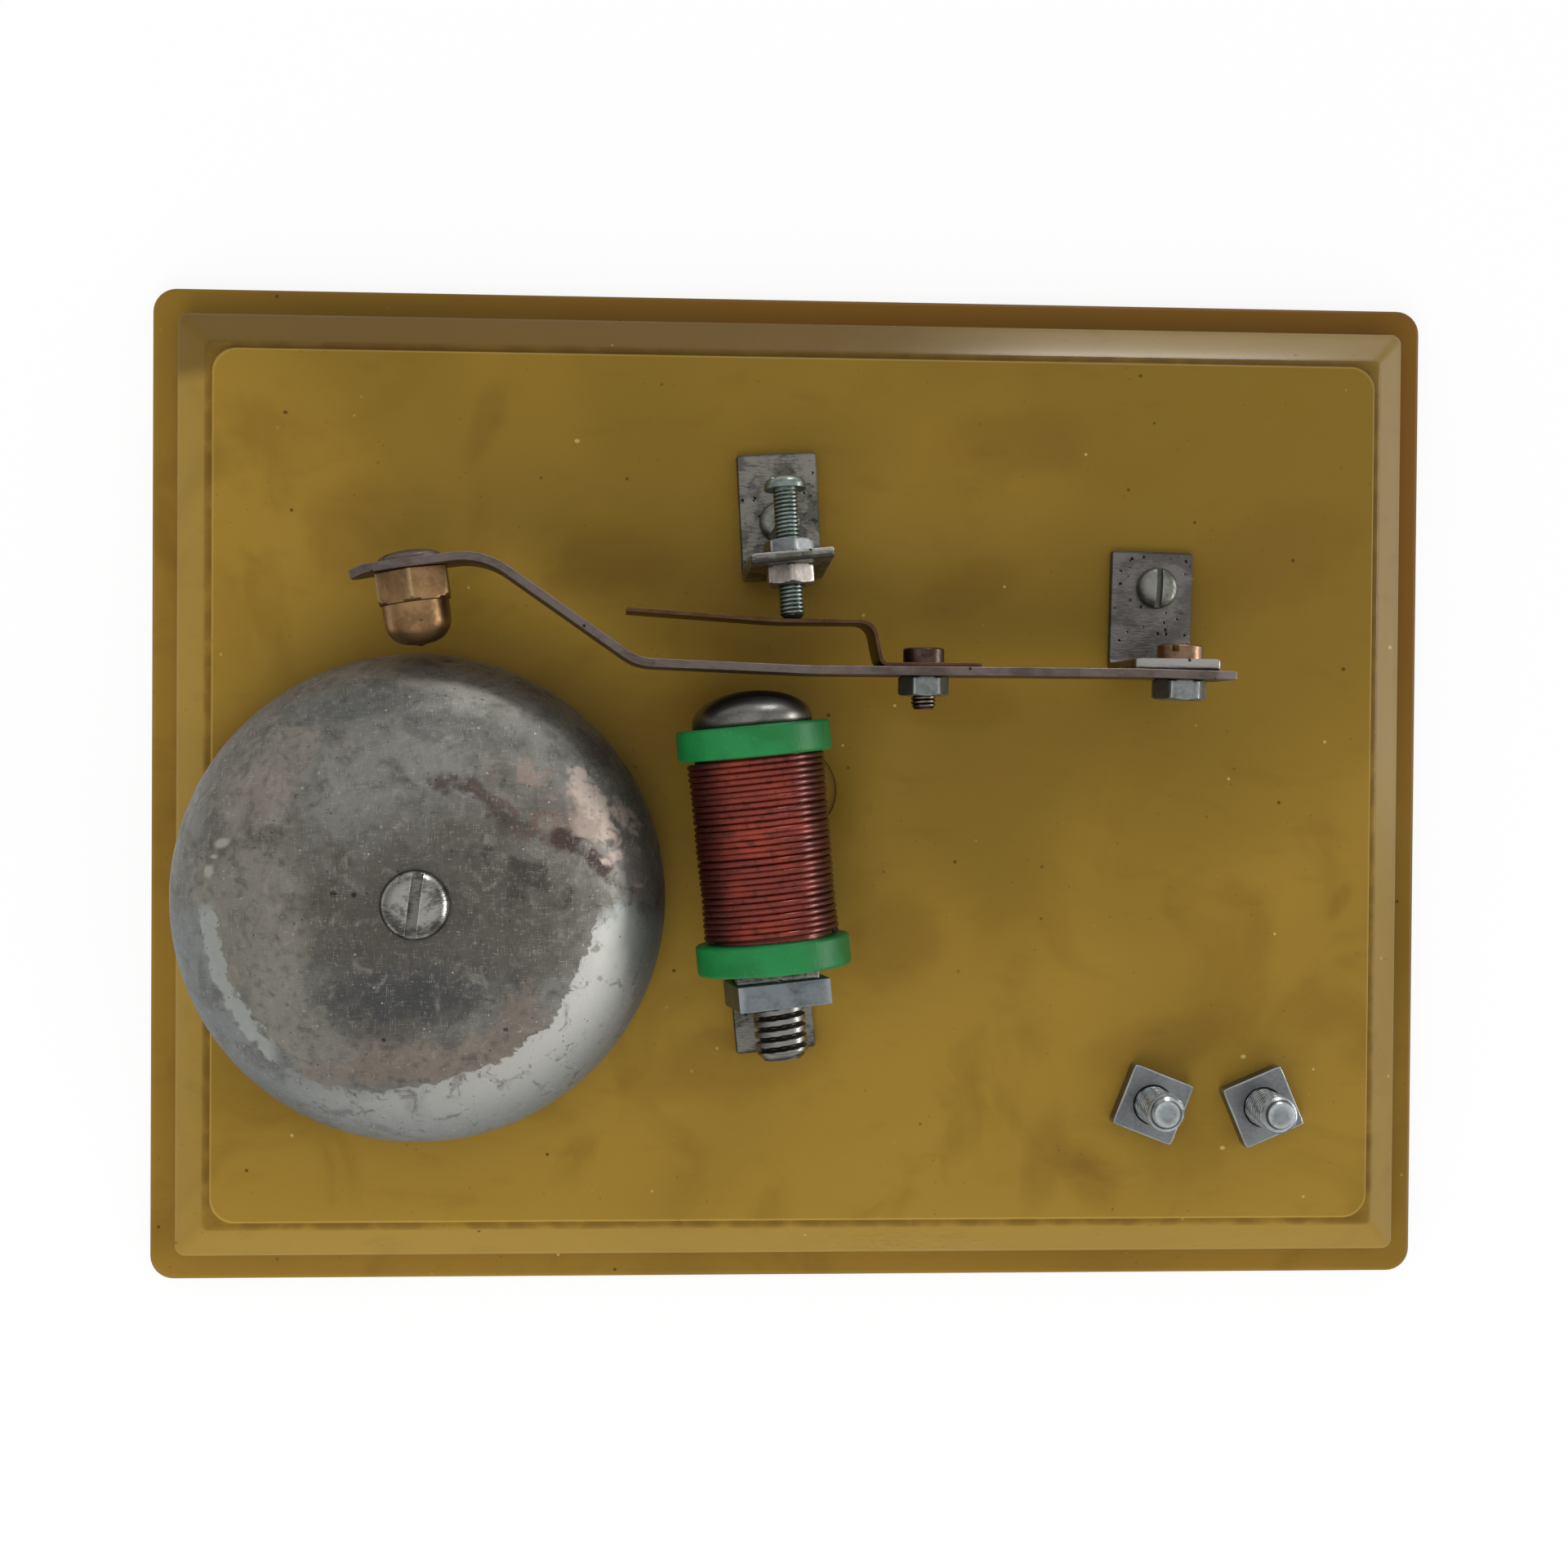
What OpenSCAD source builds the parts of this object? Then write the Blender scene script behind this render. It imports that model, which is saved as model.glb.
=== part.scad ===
// Electric bell demonstrator: a trembler bell laid out flat on a hollow moulded base board.
// Lengths are in millimetres. +X runs along the board, +Y across it and +Z up from the table.
// The origin is on the table, under the middle of the board.

/* [Base board] */
// Length of the board along X
board_l = 165; // [160:1:190]
// Width of the board along Y
board_w = 127; // [122:1:150]
// Height of the flat field above the table
board_h = 12; // [11:0.5:16]
// Thickness of the low flange round the board
flange_h = 3; // [2.5:0.1:4]
// Width of the flange, from the outer edge to the raised block
flange_w = 3.5; // [3:0.1:5]
// Width of the moulded border, from the outer edge to the field
border_w = 8.9; // [8:0.1:11]
// Thickness of the moulded shell
shell_t = 2.5; // [2:0.1:3]
// Corner radius of the flange and of the field
corner_r = 3; // [2:0.5:5]
// Diameter of the shallow round mark that one coil lead goes down through
mark_d = 11.4; // [9:0.2:13]

/* [Gong] */
// Outer diameter of the gong's rim
gong_d = 60.5; // [56:0.5:62]
// Height of the gong, from rim to crown
gong_h = 21; // [18:0.5:24]
// Thickness of the gong's sheet
gong_t = 1.1; // [0.8:0.1:1.5]
// Gap between the board and the gong's rim
gong_lift = 3; // [2:0.5:4]
// Place of the gong's pillar, along X
gong_x = -47.7; // [-49:0.1:-46]
// Place of the gong's pillar, along Y
gong_y = -13.5; // [-15:0.1:-12]
// Diameter of the gong pillar
pillar_d = 9; // [8:0.5:12]

/* [Electromagnet] */
// Place of the middle of the coil, along X
coil_x = -5.4; // [-7:0.1:-4]
// Place of the middle of the coil, along Y
coil_y = -6.75; // [-8:0.05:-6]
// Turn of the coil's axis away from the board's width, in degrees
coil_turn = 5.7; // [0:0.1:8]
// Height of the magnet, contact and clamp axes above the field
axis_h = 12; // [11:0.5:14]
// Length of the bobbin over its flanges
bobbin_l = 29.7; // [26:0.1:34]
// Diameter of the bobbin's flanges
bobbin_d = 18.7; // [17:0.1:20]
// Thickness of each bobbin flange
bobbin_flange_t = 3.75; // [3:0.05:4.5]
// Outer diameter of the winding
winding_d = 16.6; // [15:0.1:17]
// Diameter of one turn's section in the outer layer
turn_d = 0.48; // [0.4:0.02:0.5]
// Number of turns in the outer layer
turns = 23.75; // [15.75:1:23.75]
// Diameter of the core bolt's shank
core_d = 6.35; // [6:0.05:6.5]
// Diameter of the core bolt's round head
core_head_d = 14.6; // [13:0.1:16]
// Height of the core bolt's round head
core_head_h = 4.2; // [3:0.1:5]
// Length of the core bolt under its head
core_l = 40.6; // [39:0.1:44]
// Width of the square nut on the core bolt
core_nut_w = 11.4; // [10.5:0.1:12.5]
// Thickness of the square nut on the core bolt
core_nut_t = 3.1; // [2.5:0.1:5]

/* [Armature] */
// Distance of the armature strip's line from the board's centre line
arm_y = 14.65; // [14:0.05:15.5]
// Width of the strip, along Z
strip_w = 10; // [8:0.5:12]
// Thickness of the strip
strip_t = 1.05; // [0.8:0.05:1.2]
// Place along X of the edge that the strip flexes at
flex_x = 39; // [36:0.5:40]
// Place along X of the clamp screw
clamp_x = 45.5; // [43:0.1:47]
// Place along X of the strip's clamped end
strip_end_x = 51.3; // [49:0.1:53]
// Place along X of the bend where the strip leaves its straight run
crank_x = -20.9; // [-22:0.1:-19]
// Rise of the strip from the crank towards the hammer, in degrees
crank_rise = 34.7; // [30:0.1:38]

/* [Hammer] */
// Place along X of the hammer's root on the strip
hammer_x = -48.1; // [-49.5:0.1:-46.5]
// Place along Y of the hammer's root on the strip
hammer_y = 26.9; // [26:0.1:28]
// Slope of the strip behind the hammer, in degrees
hammer_turn = 8.2; // [4:0.1:12]
// Width of the brass cap nut over its flats
cap_w = 8.5; // [8:0.1:9.5]
// Length of the cap nut from its face to the tip of its dome
cap_l = 9.3; // [8.5:0.1:9.5]

/* [Contact spring] */
// Width of the contact spring, along Z
leaf_w = 8; // [6:0.5:9]
// Thickness of the contact spring
leaf_t = 0.5; // [0.3:0.05:0.5]
// Place along X of the screw that holds the spring to the armature
leaf_screw_x = 13.95; // [13:0.05:15]
// Place along X where the spring leaves the armature
leaf_root_x = 9.2; // [8.5:0.1:10]
// Distance between the armature and the spring's long free run
leaf_rise = 5.1; // [4.5:0.1:5.5]
// Place along X of the spring's free end
leaf_tip_x = -22.2; // [-26:0.1:-18]

/* [Contact screw] */
// Place along X of the contact screw's tip
contact_x = -2.1; // [-3:0.1:-1]
// Turn of the contact screw and its bracket, in degrees
contact_turn = 3.4; // [0:0.1:5]
// Lean of the contact bracket's upright back over its foot, in degrees
contact_lean = 5.5; // [0:0.5:7]
// Diameter of the contact screw
contact_d = 3; // [3:0.1:3.1]
// Length of the contact screw under its head
contact_l = 15.8; // [14:0.1:18]
// Distance from the screw's tip to the face of the bracket
contact_reach = 6.45; // [5.6:0.05:7]

/* [Brackets] */
// Width of each bracket's sheet
bracket_w = 10; // [9:0.2:12]
// Thickness of each bracket's sheet
bracket_t = 1.2; // [1:0.1:1.4]
// Length of the armature bracket's foot
foot_l = 15.4; // [14:0.2:18]
// Length of the contact bracket's foot from the contact's axis
contact_foot_l = 14.9; // [14:0.1:18]
// Length of the coil bracket's foot
coil_foot_l = 11.3; // [10:0.1:12]

/* [Terminals] */
// Diameter of each terminal stud
stud_d = 4.7; // [4:0.1:5]
// Height of each stud above the field
stud_h = 10; // [8:0.5:14]
// Width of each terminal's square nut
stud_nut_w = 8.1; // [7:0.1:9]
// Thickness of each terminal's square nut
stud_nut_t = 2.4; // [2:0.1:3]
// Places of the two terminals
stud_left = [45.1, -39.6];
// Place of the right terminal
stud_right = [59.3, -39.95];

/* [Wiring] */
// Diameter of the bare coil lead
lead_d = 0.75; // [0.6:0.05:0.8]
// Diameter of the covered link wire
link_d = 1.2; // [1:0.1:1.3]

/* [Hidden] */

$fn = 64;
eps = 0.01;                              // overlap that lets a cutter pass through a face
slip = 0.05;                             // radial clearance of a shank in its own hole
joint_gap = 0.05;                        // gap between the two halves of a flexing strip
contact_gap = 0.02;                      // gap between faces that lie on each other
arc_steps = 6;                           // straight faces in each rounded bend

axis_z = board_h + axis_h;               // height of the magnet, contact and clamp axes
ceiling_z = board_h - shell_t;           // underside of the field
foot_z = board_h + bracket_t;            // top of a bracket's foot
step_h = 1;                              // height of the step up to the field
step_w = 0.6;                            // width of that step's slope
field_z0 = board_h - step_h;

rim_z = board_h + gong_lift;             // level of the gong's rim
crown_z = rim_z + gong_h;                // level of the gong's crown
gong_seat = 0.1;                         // sinking of the pillar's flat top below the domed crown
gong_form = 2.4;                         // exponent of the gong's superellipse, 2 is a round dome
gong_screw_d = 4;
gong_head_d = 8.4;
gong_head_h = 2.6;

m3 = 3;                                  // diameter of the small bracket screws
m3_nut_w = 5.5;
m3_nut_t = 2.4;
lock_nut_rear_t = 1.8;
foot_screw_head_d = 5.2;
foot_screw_head_h = 1.9;
contact_head_d = 5.1;
contact_head_h = 2.05;
clamp_d = 3.5;
clamp_nut_w = 6;
clamp_head_d = 5.6;
clamp_head_h = 2;
under_nut_t = 2.4;                       // nuts under the board
thread_end_z = 5.2;                      // lowest level that a screw reaches under the board
wire_z = 5.8;                            // level of the wires' runs under the board

contact_spring_gap = 0.16;               // gap at the closed contact
spring_line_y = arm_y + strip_t / 2 + leaf_t / 2;
leaf_run_y = spring_line_y + leaf_rise;
contact_tip = [contact_x, leaf_run_y + leaf_t / 2 + contact_spring_gap];

// ---- plane geometry -------------------------------------------------------------------

function unit(v) = v / norm(v);
function left_of(v) = [-v.y, v.x];
function turned(v, a) = [v.x * cos(a) - v.y * sin(a), v.x * sin(a) + v.y * cos(a)];

// Points of an arc of radius r that rounds the corner b of the path a, b, c, in the plane or in space.
function corner_arc(a, b, c, r) =
    let (u = unit(a - b), v = unit(c - b),
         opening = acos(u * v),
         centre = b + unit(u + v) * r / sin(opening / 2),
         start = b + u * r / tan(opening / 2))
    [for (i = [0 : arc_steps]) let (s = (180 - opening) * i / arc_steps)
        centre + (start - centre) * cos(s) - u * r * sin(s)];

// A path with each inner corner rounded by its own radius.
function rounded_path(p, radii) =
    [p[0],
     for (i = [1 : len(p) - 2]) each corner_arc(p[i - 1], p[i], p[i + 1], radii[i - 1]),
     p[len(p) - 1]];

// The line at distance d to the left of a path, mitred at each point.
function beside(p, d) =
    [for (i = [0 : len(p) - 1])
        let (n0 = i > 0 ? left_of(unit(p[i] - p[i - 1])) : left_of(unit(p[1] - p[0])),
             n1 = i < len(p) - 1 ? left_of(unit(p[i + 1] - p[i])) : n0,
             n = unit(n0 + n1))
        p[i] + n * d / (n * n0)];

function backwards(p) = [for (i = [len(p) - 1 : -1 : 0]) p[i]];

// Outline of sheet of thickness t bent along a path.
function bent_sheet(p, t) = concat(beside(p, t / 2), backwards(beside(p, -t / 2)));

// Point where the line through p at angle a meets the line through q at angle b.
function meeting(p, a, q, b) =
    let (d = [cos(a), sin(a)], e = [cos(b), sin(b)])
    p + d * cross(q - p, e) / cross(d, e);

// ---- shared shapes --------------------------------------------------------------------

module rounded_rect(l, w, r) {
    square([l - 2 * r, w], center = true);
    square([l, w - 2 * r], center = true);
    for (x = [-1, 1], y = [-1, 1]) translate([x * (l / 2 - r), y * (w / 2 - r)]) circle(r);
}

// A block whose four sides all have one moulded profile, given as [inset, height], with
// mitred corners: the profile run along X meets the same profile run along Y.
module mitred_block(l, w, profile) {
    function section(s) = concat([for (p = profile) [p.x - s / 2, p.y]],
                                 [for (p = backwards(profile)) [s / 2 - p.x, p.y]]);
    intersection() {
        rotate([90, 0, 0]) linear_extrude(w, center = true) polygon(section(l));
        rotate([90, 0, 90]) linear_extrude(l, center = true) polygon(section(w));
    }
}

// Domed head with a driver slot, its flat face on z = 0.
module slotted_head(d, h, edge, slot_w, slot_depth, slot_angle) {
    difference() {
        rotate_extrude() polygon(concat([[0, 0], [d / 2, 0]],
            [for (i = [0 : 8]) [d / 2 * cos(90 * i / 8) ^ 0.8, edge + (h - edge) * sin(90 * i / 8)]]));
        if (slot_w > 0)
            rotate(slot_angle) translate([-d, -slot_w / 2, h - slot_depth]) cube([2 * d, slot_w, h]);
    }
}

// Flat-topped round head with a driver slot, its flat face on z = 0.
module cheese_head(d, h, slot_w, slot_depth, slot_angle) {
    edge = 0.35;
    difference() {
        rotate_extrude() polygon([[0, 0], [d / 2, 0], [d / 2, h - edge], [d / 2 - edge, h], [0, h]]);
        rotate(slot_angle) translate([-d, -slot_w / 2, h - slot_depth]) cube([2 * d, slot_w, h]);
    }
}

// Plain shank from z = 0 down, with a chamfered end.
module shank(d, l) {
    chamfer = 0.5;
    rotate_extrude() polygon([[0, 0], [d / 2, 0], [d / 2, chamfer - l], [d / 2 - chamfer, -l], [0, -l]]);
}

// Hexagon nut from z = 0 up, over its flats w, with the corners of both faces chamfered.
module hex_nut(w, t, bore) {
    corner = w / 2 / cos(30);
    cut = corner - w / 2;
    difference() {
        intersection() {
            rotate(30) cylinder(r = corner, h = t, $fn = 6);
            rotate_extrude() polygon([[0, 0], [w / 2, 0], [corner, cut * 0.6], [corner, t - cut * 0.6],
                                      [w / 2, t], [0, t]]);
        }
        translate([0, 0, -eps]) cylinder(d = bore, h = t + 2 * eps);
    }
}

// Square nut from z = 0 up, over its flats w, with its upper corners chamfered.
module square_nut(w, t, bore) {
    difference() {
        intersection() {
            translate([-w / 2, -w / 2, 0]) cube([w, w, t]);
            rotate_extrude() polygon([[0, 0], [w * 0.71, 0], [w * 0.71, t - 0.2], [w * 0.69, t], [0, t]]);
        }
        translate([0, 0, -eps]) cylinder(d = bore, h = t + 2 * eps);
    }
}

// Angle bracket of bent sheet, its foot running to +Y with its underside on z = 0. At the level of
// the upright's bore its outer face is on y = 0; lean is the upright's lean back over the foot.
// foot_hole is the distance from there to the foot's screw. offset and foot_offset are the two
// holes' distances from the middle of the sheet.
module angle_bracket(w, foot, height, bore_z, bore_d, foot_hole, foot_bore_d,
                     offset = 0, foot_offset = 0, lean = 0) {
    t = bracket_t;
    bend_r = 0.5 + t / 2;
    along = [sin(lean), cos(lean)];
    inner = [0, bore_z] + t / 2 * [along.y, -along.x];       // on the upright's middle line
    line = rounded_path([[foot, t / 2], inner + along * (t / 2 - inner.y) / along.y,
                         inner + along * (height - inner.y) / along.y], [bend_r]);
    corner = 0.4;
    difference() {
        intersection() {
            rotate([90, 0, 90]) linear_extrude(w, center = true) polygon(bent_sheet(line, t));
            rotate([90, 0, 0]) linear_extrude(3 * foot, center = true)
                translate([0, height / 2 - corner]) rounded_rect(w, height + 2 * corner, corner);
        }
        translate([offset, 0, bore_z]) rotate([-90 - lean, 0, 0]) translate([0, 0, -eps])
            cylinder(d = bore_d, h = t + 2 * eps);
        translate([foot_offset, foot_hole, -eps]) cylinder(d = foot_bore_d, h = t + 2 * eps);
    }
}

// Direction of a line of points at its point i.
function line_dir(p, i) = unit(p[min(i + 1, len(p) - 1)] - p[max(i - 1, 0)]);

// A direction square to the line at each of its points, carried on from the one before, so that
// the sections don't twist. first is any direction that is not along the line's start.
function carried(u, t) = unit(u - t * (u * t));
function line_sides(p, first) =
    [for (i = 0, u = carried(first, line_dir(p, 0)); i < len(p);
          i = i + 1, u = i < len(p) ? carried(u, line_dir(p, i)) : u) u];

// Round wire of diameter d along a line of points, as one closed surface.
module wire(p, d, sides, first) {
    n = len(p);
    across = line_sides(p, first);
    points = [for (i = [0 : n - 1], k = [0 : sides - 1])
        let (a = 360 * k / sides)
        p[i] + (across[i] * cos(a) + cross(line_dir(p, i), across[i]) * sin(a)) * d / 2];
    walls = [for (i = [0 : n - 2], k = [0 : sides - 1])
        let (a = i * sides + k, b = i * sides + (k + 1) % sides)
        each [[a, b, a + sides], [b, b + sides, a + sides]]];
    last = (n - 1) * sides;
    caps = [for (k = [1 : sides - 2]) each [[0, k + 1, k], [last, last + k, last + k + 1]]];
    polyhedron(points, concat(walls, caps));
}

// Hook of wire round a shank of diameter d, met on its +X side on the way to +Y.
function hook(at, d, wire_d) =
    [for (a = [0 : 22.5 : 315])
        [at.x + (d + wire_d) / 2 * cos(a), at.y + (d + wire_d) / 2 * sin(a),
         ceiling_z - contact_gap - wire_d / 2]];

// ---- base board -----------------------------------------------------------------------

contact_dir = turned([0, 1], contact_turn);              // from the contact's tip to its head
contact_face = contact_tip + contact_dir * contact_reach * cos(contact_lean);
contact_foot_hole = 6.3;                                 // from the upright's face to the screw
armature_turn = -1.2;                                    // turn of the armature bracket
armature_face = [clamp_x, arm_y + strip_t / 2 - 0.1];
armature_foot_hole = 10.8;
armature_foot_shift = -0.6;                              // of the foot's screw from the clamp's line
coil_foot_hole = 7.2;
coil_dir = turned([0, 1], coil_turn);                    // from the coil's middle to the core's head
coil_mid = [coil_x, coil_y];

contact_foot_screw = contact_face + contact_dir * contact_foot_hole;
armature_foot_screw = armature_face + turned([armature_foot_shift, armature_foot_hole], armature_turn);
coil_foot_screw = coil_mid - coil_dir * (bobbin_l / 2 + coil_foot_hole);

turn_r = (winding_d - turn_d) / 2;                       // radius of the outer layer's centre line
winding_l = bobbin_l - 2 * bobbin_flange_t;
pitch = (winding_l - lead_d - 0.2) / turns;                // leaves room for a lead beside each flange
function coil_point(x, y, z) = let (p = coil_mid + turned([x, y], coil_turn)) [p.x, p.y, axis_z + z];
lead_start = coil_point(turn_r, pitch * turns / 2, 0);
end_bend_r = 1;                                          // bend of the last turn down to its lead
lead_end = coil_point(end_bend_r, -pitch * turns / 2, -turn_r - end_bend_r);
mark_at = [-1.0, -0.05];

rib_t = 1.8;
rib_z = 6.6;                                             // lower edge of the ribs
ribs_x = [-22, 24];
rib_y = 14;

block_profile = [
    [0, -eps], [0, flange_h - 0.6], [0.18, flange_h - 0.18], [0.6, flange_h],
    [flange_w - 0.3, flange_h], [flange_w, flange_h + 0.3],
    [flange_w + 0.4, field_z0 - 3.6], [flange_w + 0.7, field_z0 - 3.1],
    [flange_w + 1.7, field_z0 - 2.1], [border_w - 1.6, field_z0 - 0.45], [border_w - 0.8, field_z0]
];
cavity_profile = [
    [shell_t - 0.1, -2 * eps], [shell_t - 0.1, flange_h - shell_t + 0.5],
    [flange_w + shell_t, flange_h - shell_t + 0.8], [flange_w + shell_t + 0.3, field_z0 - 5],
    [border_w + 0.4, ceiling_z]
];

module base_board() {
    color([0.60, 0.48, 0.20]) difference() {
        union() {
            difference() {
                intersection() {
                    mitred_block(board_l, board_w, block_profile);
                    union() {
                        linear_extrude(flange_h + 0.3) rounded_rect(board_l, board_w, corner_r);
                        linear_extrude(board_h)
                            rounded_rect(board_l - 2 * flange_w, board_w - 2 * flange_w, corner_r / 2);
                    }
                }
                mitred_block(board_l, board_w, cavity_profile);
            }
            field_plateau();
            ribs();
        }
        translate([mark_at.x, mark_at.y, board_h - 0.5]) cylinder(d = mark_d, h = 1);
        for (at = [contact_foot_screw, armature_foot_screw, coil_foot_screw]) field_hole(at, m3);
        for (at = [stud_left, stud_right]) field_hole(at, stud_d);
        field_hole([gong_x, gong_y], gong_screw_d);
        for (at = [lead_start, lead_end]) field_hole(at, lead_d + 0.6);
    }
}

// The field stands one rounded step above the border, with round corners of its own.
module field_plateau() {
    l = board_l - 2 * border_w;
    w = board_w - 2 * border_w;
    for (s = [[0, 0.25], [0.12, 0.6], [0.35, 0.86], [step_w, step_h]])
        translate([0, 0, ceiling_z]) linear_extrude(field_z0 - ceiling_z + s.y)
            rounded_rect(l - 2 * s.x, w - 2 * s.x, corner_r - s.x / 2);
}

module ribs() {
    inner_l = board_l - 2 * (flange_w + shell_t);
    inner_w = board_w - 2 * (flange_w + shell_t);
    rib_h = ceiling_z - rib_z + eps;
    for (x = ribs_x) translate([x - rib_t / 2, -inner_w / 2, rib_z]) cube([rib_t, inner_w, rib_h]);
    translate([-inner_l / 2, rib_y - rib_t / 2, rib_z]) cube([inner_l, rib_t, rib_h]);
}

module field_hole(at, d) {
    translate([at.x, at.y, ceiling_z - 1]) cylinder(d = d + 2 * slip, h = board_h);
}

// ---- gong -----------------------------------------------------------------------------

// Half profile of a superellipse of radius r and height h standing on level z, from the crown out.
function dome_line(r, h, z) =
    [for (i = [0 : 24]) let (a = 90 * (1 - i / 24))
        [r * cos(a) ^ (2 / gong_form), z + h * sin(a) ^ (2 / gong_form)]];

module gong() {
    color([0.55, 0.53, 0.50]) translate([gong_x, gong_y, 0]) difference() {
        rotate_extrude($fn = 96) polygon(concat(
            dome_line(gong_d / 2, gong_h, rim_z),
            backwards(dome_line(gong_d / 2 - gong_t, gong_h - gong_t, rim_z))));
        translate([0, 0, rim_z]) cylinder(d = gong_screw_d + 2 * slip, h = 2 * gong_h);
    }
}

module gong_pillar() {
    color([0.62, 0.62, 0.60]) translate([gong_x, gong_y, board_h]) difference() {
        cylinder(d = pillar_d, h = crown_z - gong_t - gong_seat - board_h);
        translate([0, 0, -eps]) cylinder(d = gong_screw_d + 2 * slip, h = gong_h + gong_lift);
    }
}

module gong_screw() {
    slot_angle = 81;
    color([0.66, 0.65, 0.62]) translate([gong_x, gong_y, crown_z]) {
        slotted_head(gong_head_d, gong_head_h, 0.5, 1.3, 1.3, slot_angle);
        shank(gong_screw_d, crown_z - thread_end_z);
    }
}

module gong_nut() {
    color([0.62, 0.63, 0.60]) translate([gong_x, gong_y, ceiling_z - 3.2])
        hex_nut(7, 3.2, gong_screw_d + 2 * slip);
}

// ---- electromagnet --------------------------------------------------------------------

// Sets its children in the coil's frame: x across the coil, y along its axis, z up.
module at_coil() {
    translate([coil_x, coil_y, axis_z]) rotate(coil_turn) children();
}

module coil_bobbin() {
    tube_r = core_d / 2 + 1.3;
    edge = 0.25;
    half = bobbin_l / 2;
    inner = half - bobbin_flange_t;
    color([0.09, 0.47, 0.24]) at_coil() rotate([-90, 0, 0]) difference() {
        rotate_extrude() polygon([
            [0, -half], [bobbin_d / 2 - edge, -half], [bobbin_d / 2, edge - half],
            [bobbin_d / 2, -inner - edge], [bobbin_d / 2 - edge, -inner], [tube_r, -inner],
            [tube_r, inner], [bobbin_d / 2 - edge, inner], [bobbin_d / 2, inner + edge],
            [bobbin_d / 2, half - edge], [bobbin_d / 2 - edge, half], [0, half]]);
        cylinder(d = core_d + 2 * slip, h = 2 * bobbin_l, center = true);
    }
}

// The inner layers, as one plain sleeve between the bobbin's tube and the outer layer.
module winding_inner() {
    sleeve_r = turn_r * cos(180 / rings) - turn_d / 2 - 0.03;
    color([0.42, 0.16, 0.13]) at_coil() rotate([-90, 0, 0]) difference() {
        cylinder(r = sleeve_r, h = winding_l - 0.1, center = true);
        cylinder(r = core_d / 2 + 1.35, h = bobbin_l, center = true);
    }
}

// The outer layer's centre line. The wire rises from the start lead at the coil's side, winds
// towards the nut and turns down to the end lead under the coil.
rings = 24;                                              // rings along each turn
end_steps = 4;
function helix_point(i) =
    let (a = 360 * i / rings)
    [turn_r * cos(a), pitch * turns / 2 - pitch * i / rings, turn_r * sin(a)];
winding_line = concat(
    [[turn_r, pitch * turns / 2, -turn_d]],
    [for (i = [0 : turns * rings]) helix_point(i)],
    [for (i = [1 : end_steps]) let (a = 90 * i / end_steps)
        [end_bend_r * sin(a), -pitch * turns / 2, -turn_r - end_bend_r * (1 - cos(a))]],
    [[end_bend_r, -pitch * turns / 2, -turn_r - end_bend_r - turn_d]]);

// Least gap between the wire and itself, on its own points: from each point to those at least
// half a turn and at most one and a half turns further on, less the wire's thickness.
winding_gap = min([for (i = [0 : 3 : len(winding_line) - rings]) for (k = [rings / 2 : rings * 3 / 2])
    if (i + k < len(winding_line)) norm(winding_line[i] - winding_line[i + k])]) - turn_d;
echo(least_gap_in_winding = winding_gap);

module winding_outer() {
    color([0.47, 0.19, 0.15]) at_coil() wire(winding_line, turn_d, 6, [0, 1, 0]);
}

module core_bolt() {
    rim = 0.6;
    color([0.30, 0.29, 0.28]) at_coil() translate([0, bobbin_l / 2, 0]) rotate([-90, 0, 0]) {
        rotate_extrude() polygon(concat([[0, 0], [core_head_d / 2, 0]],
            [for (i = [0 : 12]) let (a = 90 * i / 12)
                [core_head_d / 2 * cos(a), rim + (core_head_h - rim) * sin(a)]]));
        shank(core_d, core_l);
    }
}

module core_nut() {
    core_nut_turn = 6;                                   // shows one side face, as on the object
    color([0.55, 0.58, 0.60]) at_coil()
        translate([0, -bobbin_l / 2 - bracket_t, 0]) rotate([90, core_nut_turn, 0])
            square_nut(core_nut_w, core_nut_t, core_d + 2 * slip);
}

module coil_bracket() {
    color([0.48, 0.48, 0.47]) at_coil() translate([0, -bobbin_l / 2, board_h - axis_z])
        mirror([0, 1, 0]) angle_bracket(bracket_w, coil_foot_l, axis_h + 4.4, axis_h,
            core_d + 2 * slip, coil_foot_hole, m3 + 2 * slip);
}

// ---- screws through the brackets' feet ------------------------------------------------

module foot_screw(at, slot_angle, head_d = foot_screw_head_d) {
    translate([at.x, at.y, foot_z]) {
        slotted_head(head_d, foot_screw_head_h, 0.6, 0.8, 0.9, slot_angle);
        shank(m3, foot_z - thread_end_z);
    }
}

module under_nut(at, drop) {
    translate([at.x, at.y, ceiling_z - drop - under_nut_t]) hex_nut(m3_nut_w, under_nut_t, m3 + 2 * slip);
}

module coil_bracket_screw() color([0.50, 0.50, 0.48]) foot_screw(coil_foot_screw, 20, 5);
module coil_bracket_nut() color([0.60, 0.62, 0.60]) under_nut(coil_foot_screw, 0);
module contact_bracket_screw() color([0.58, 0.60, 0.56]) foot_screw(contact_foot_screw, 62);
module contact_bracket_nut()
    color([0.60, 0.62, 0.60]) under_nut(contact_foot_screw, lead_d + 2 * contact_gap);
module armature_bracket_screw() color([0.50, 0.52, 0.49]) foot_screw(armature_foot_screw, 87);
module armature_bracket_nut()
    color([0.60, 0.62, 0.60]) under_nut(armature_foot_screw, link_d + 2 * contact_gap);

// ---- contact screw on its bracket -----------------------------------------------------

// Sets its children in the contact's frame: origin on the bracket's face, y towards the head.
module at_contact(lean = contact_lean) {
    translate([contact_face.x, contact_face.y, axis_z]) rotate(contact_turn) rotate([-lean, 0, 0]) children();
}

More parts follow.
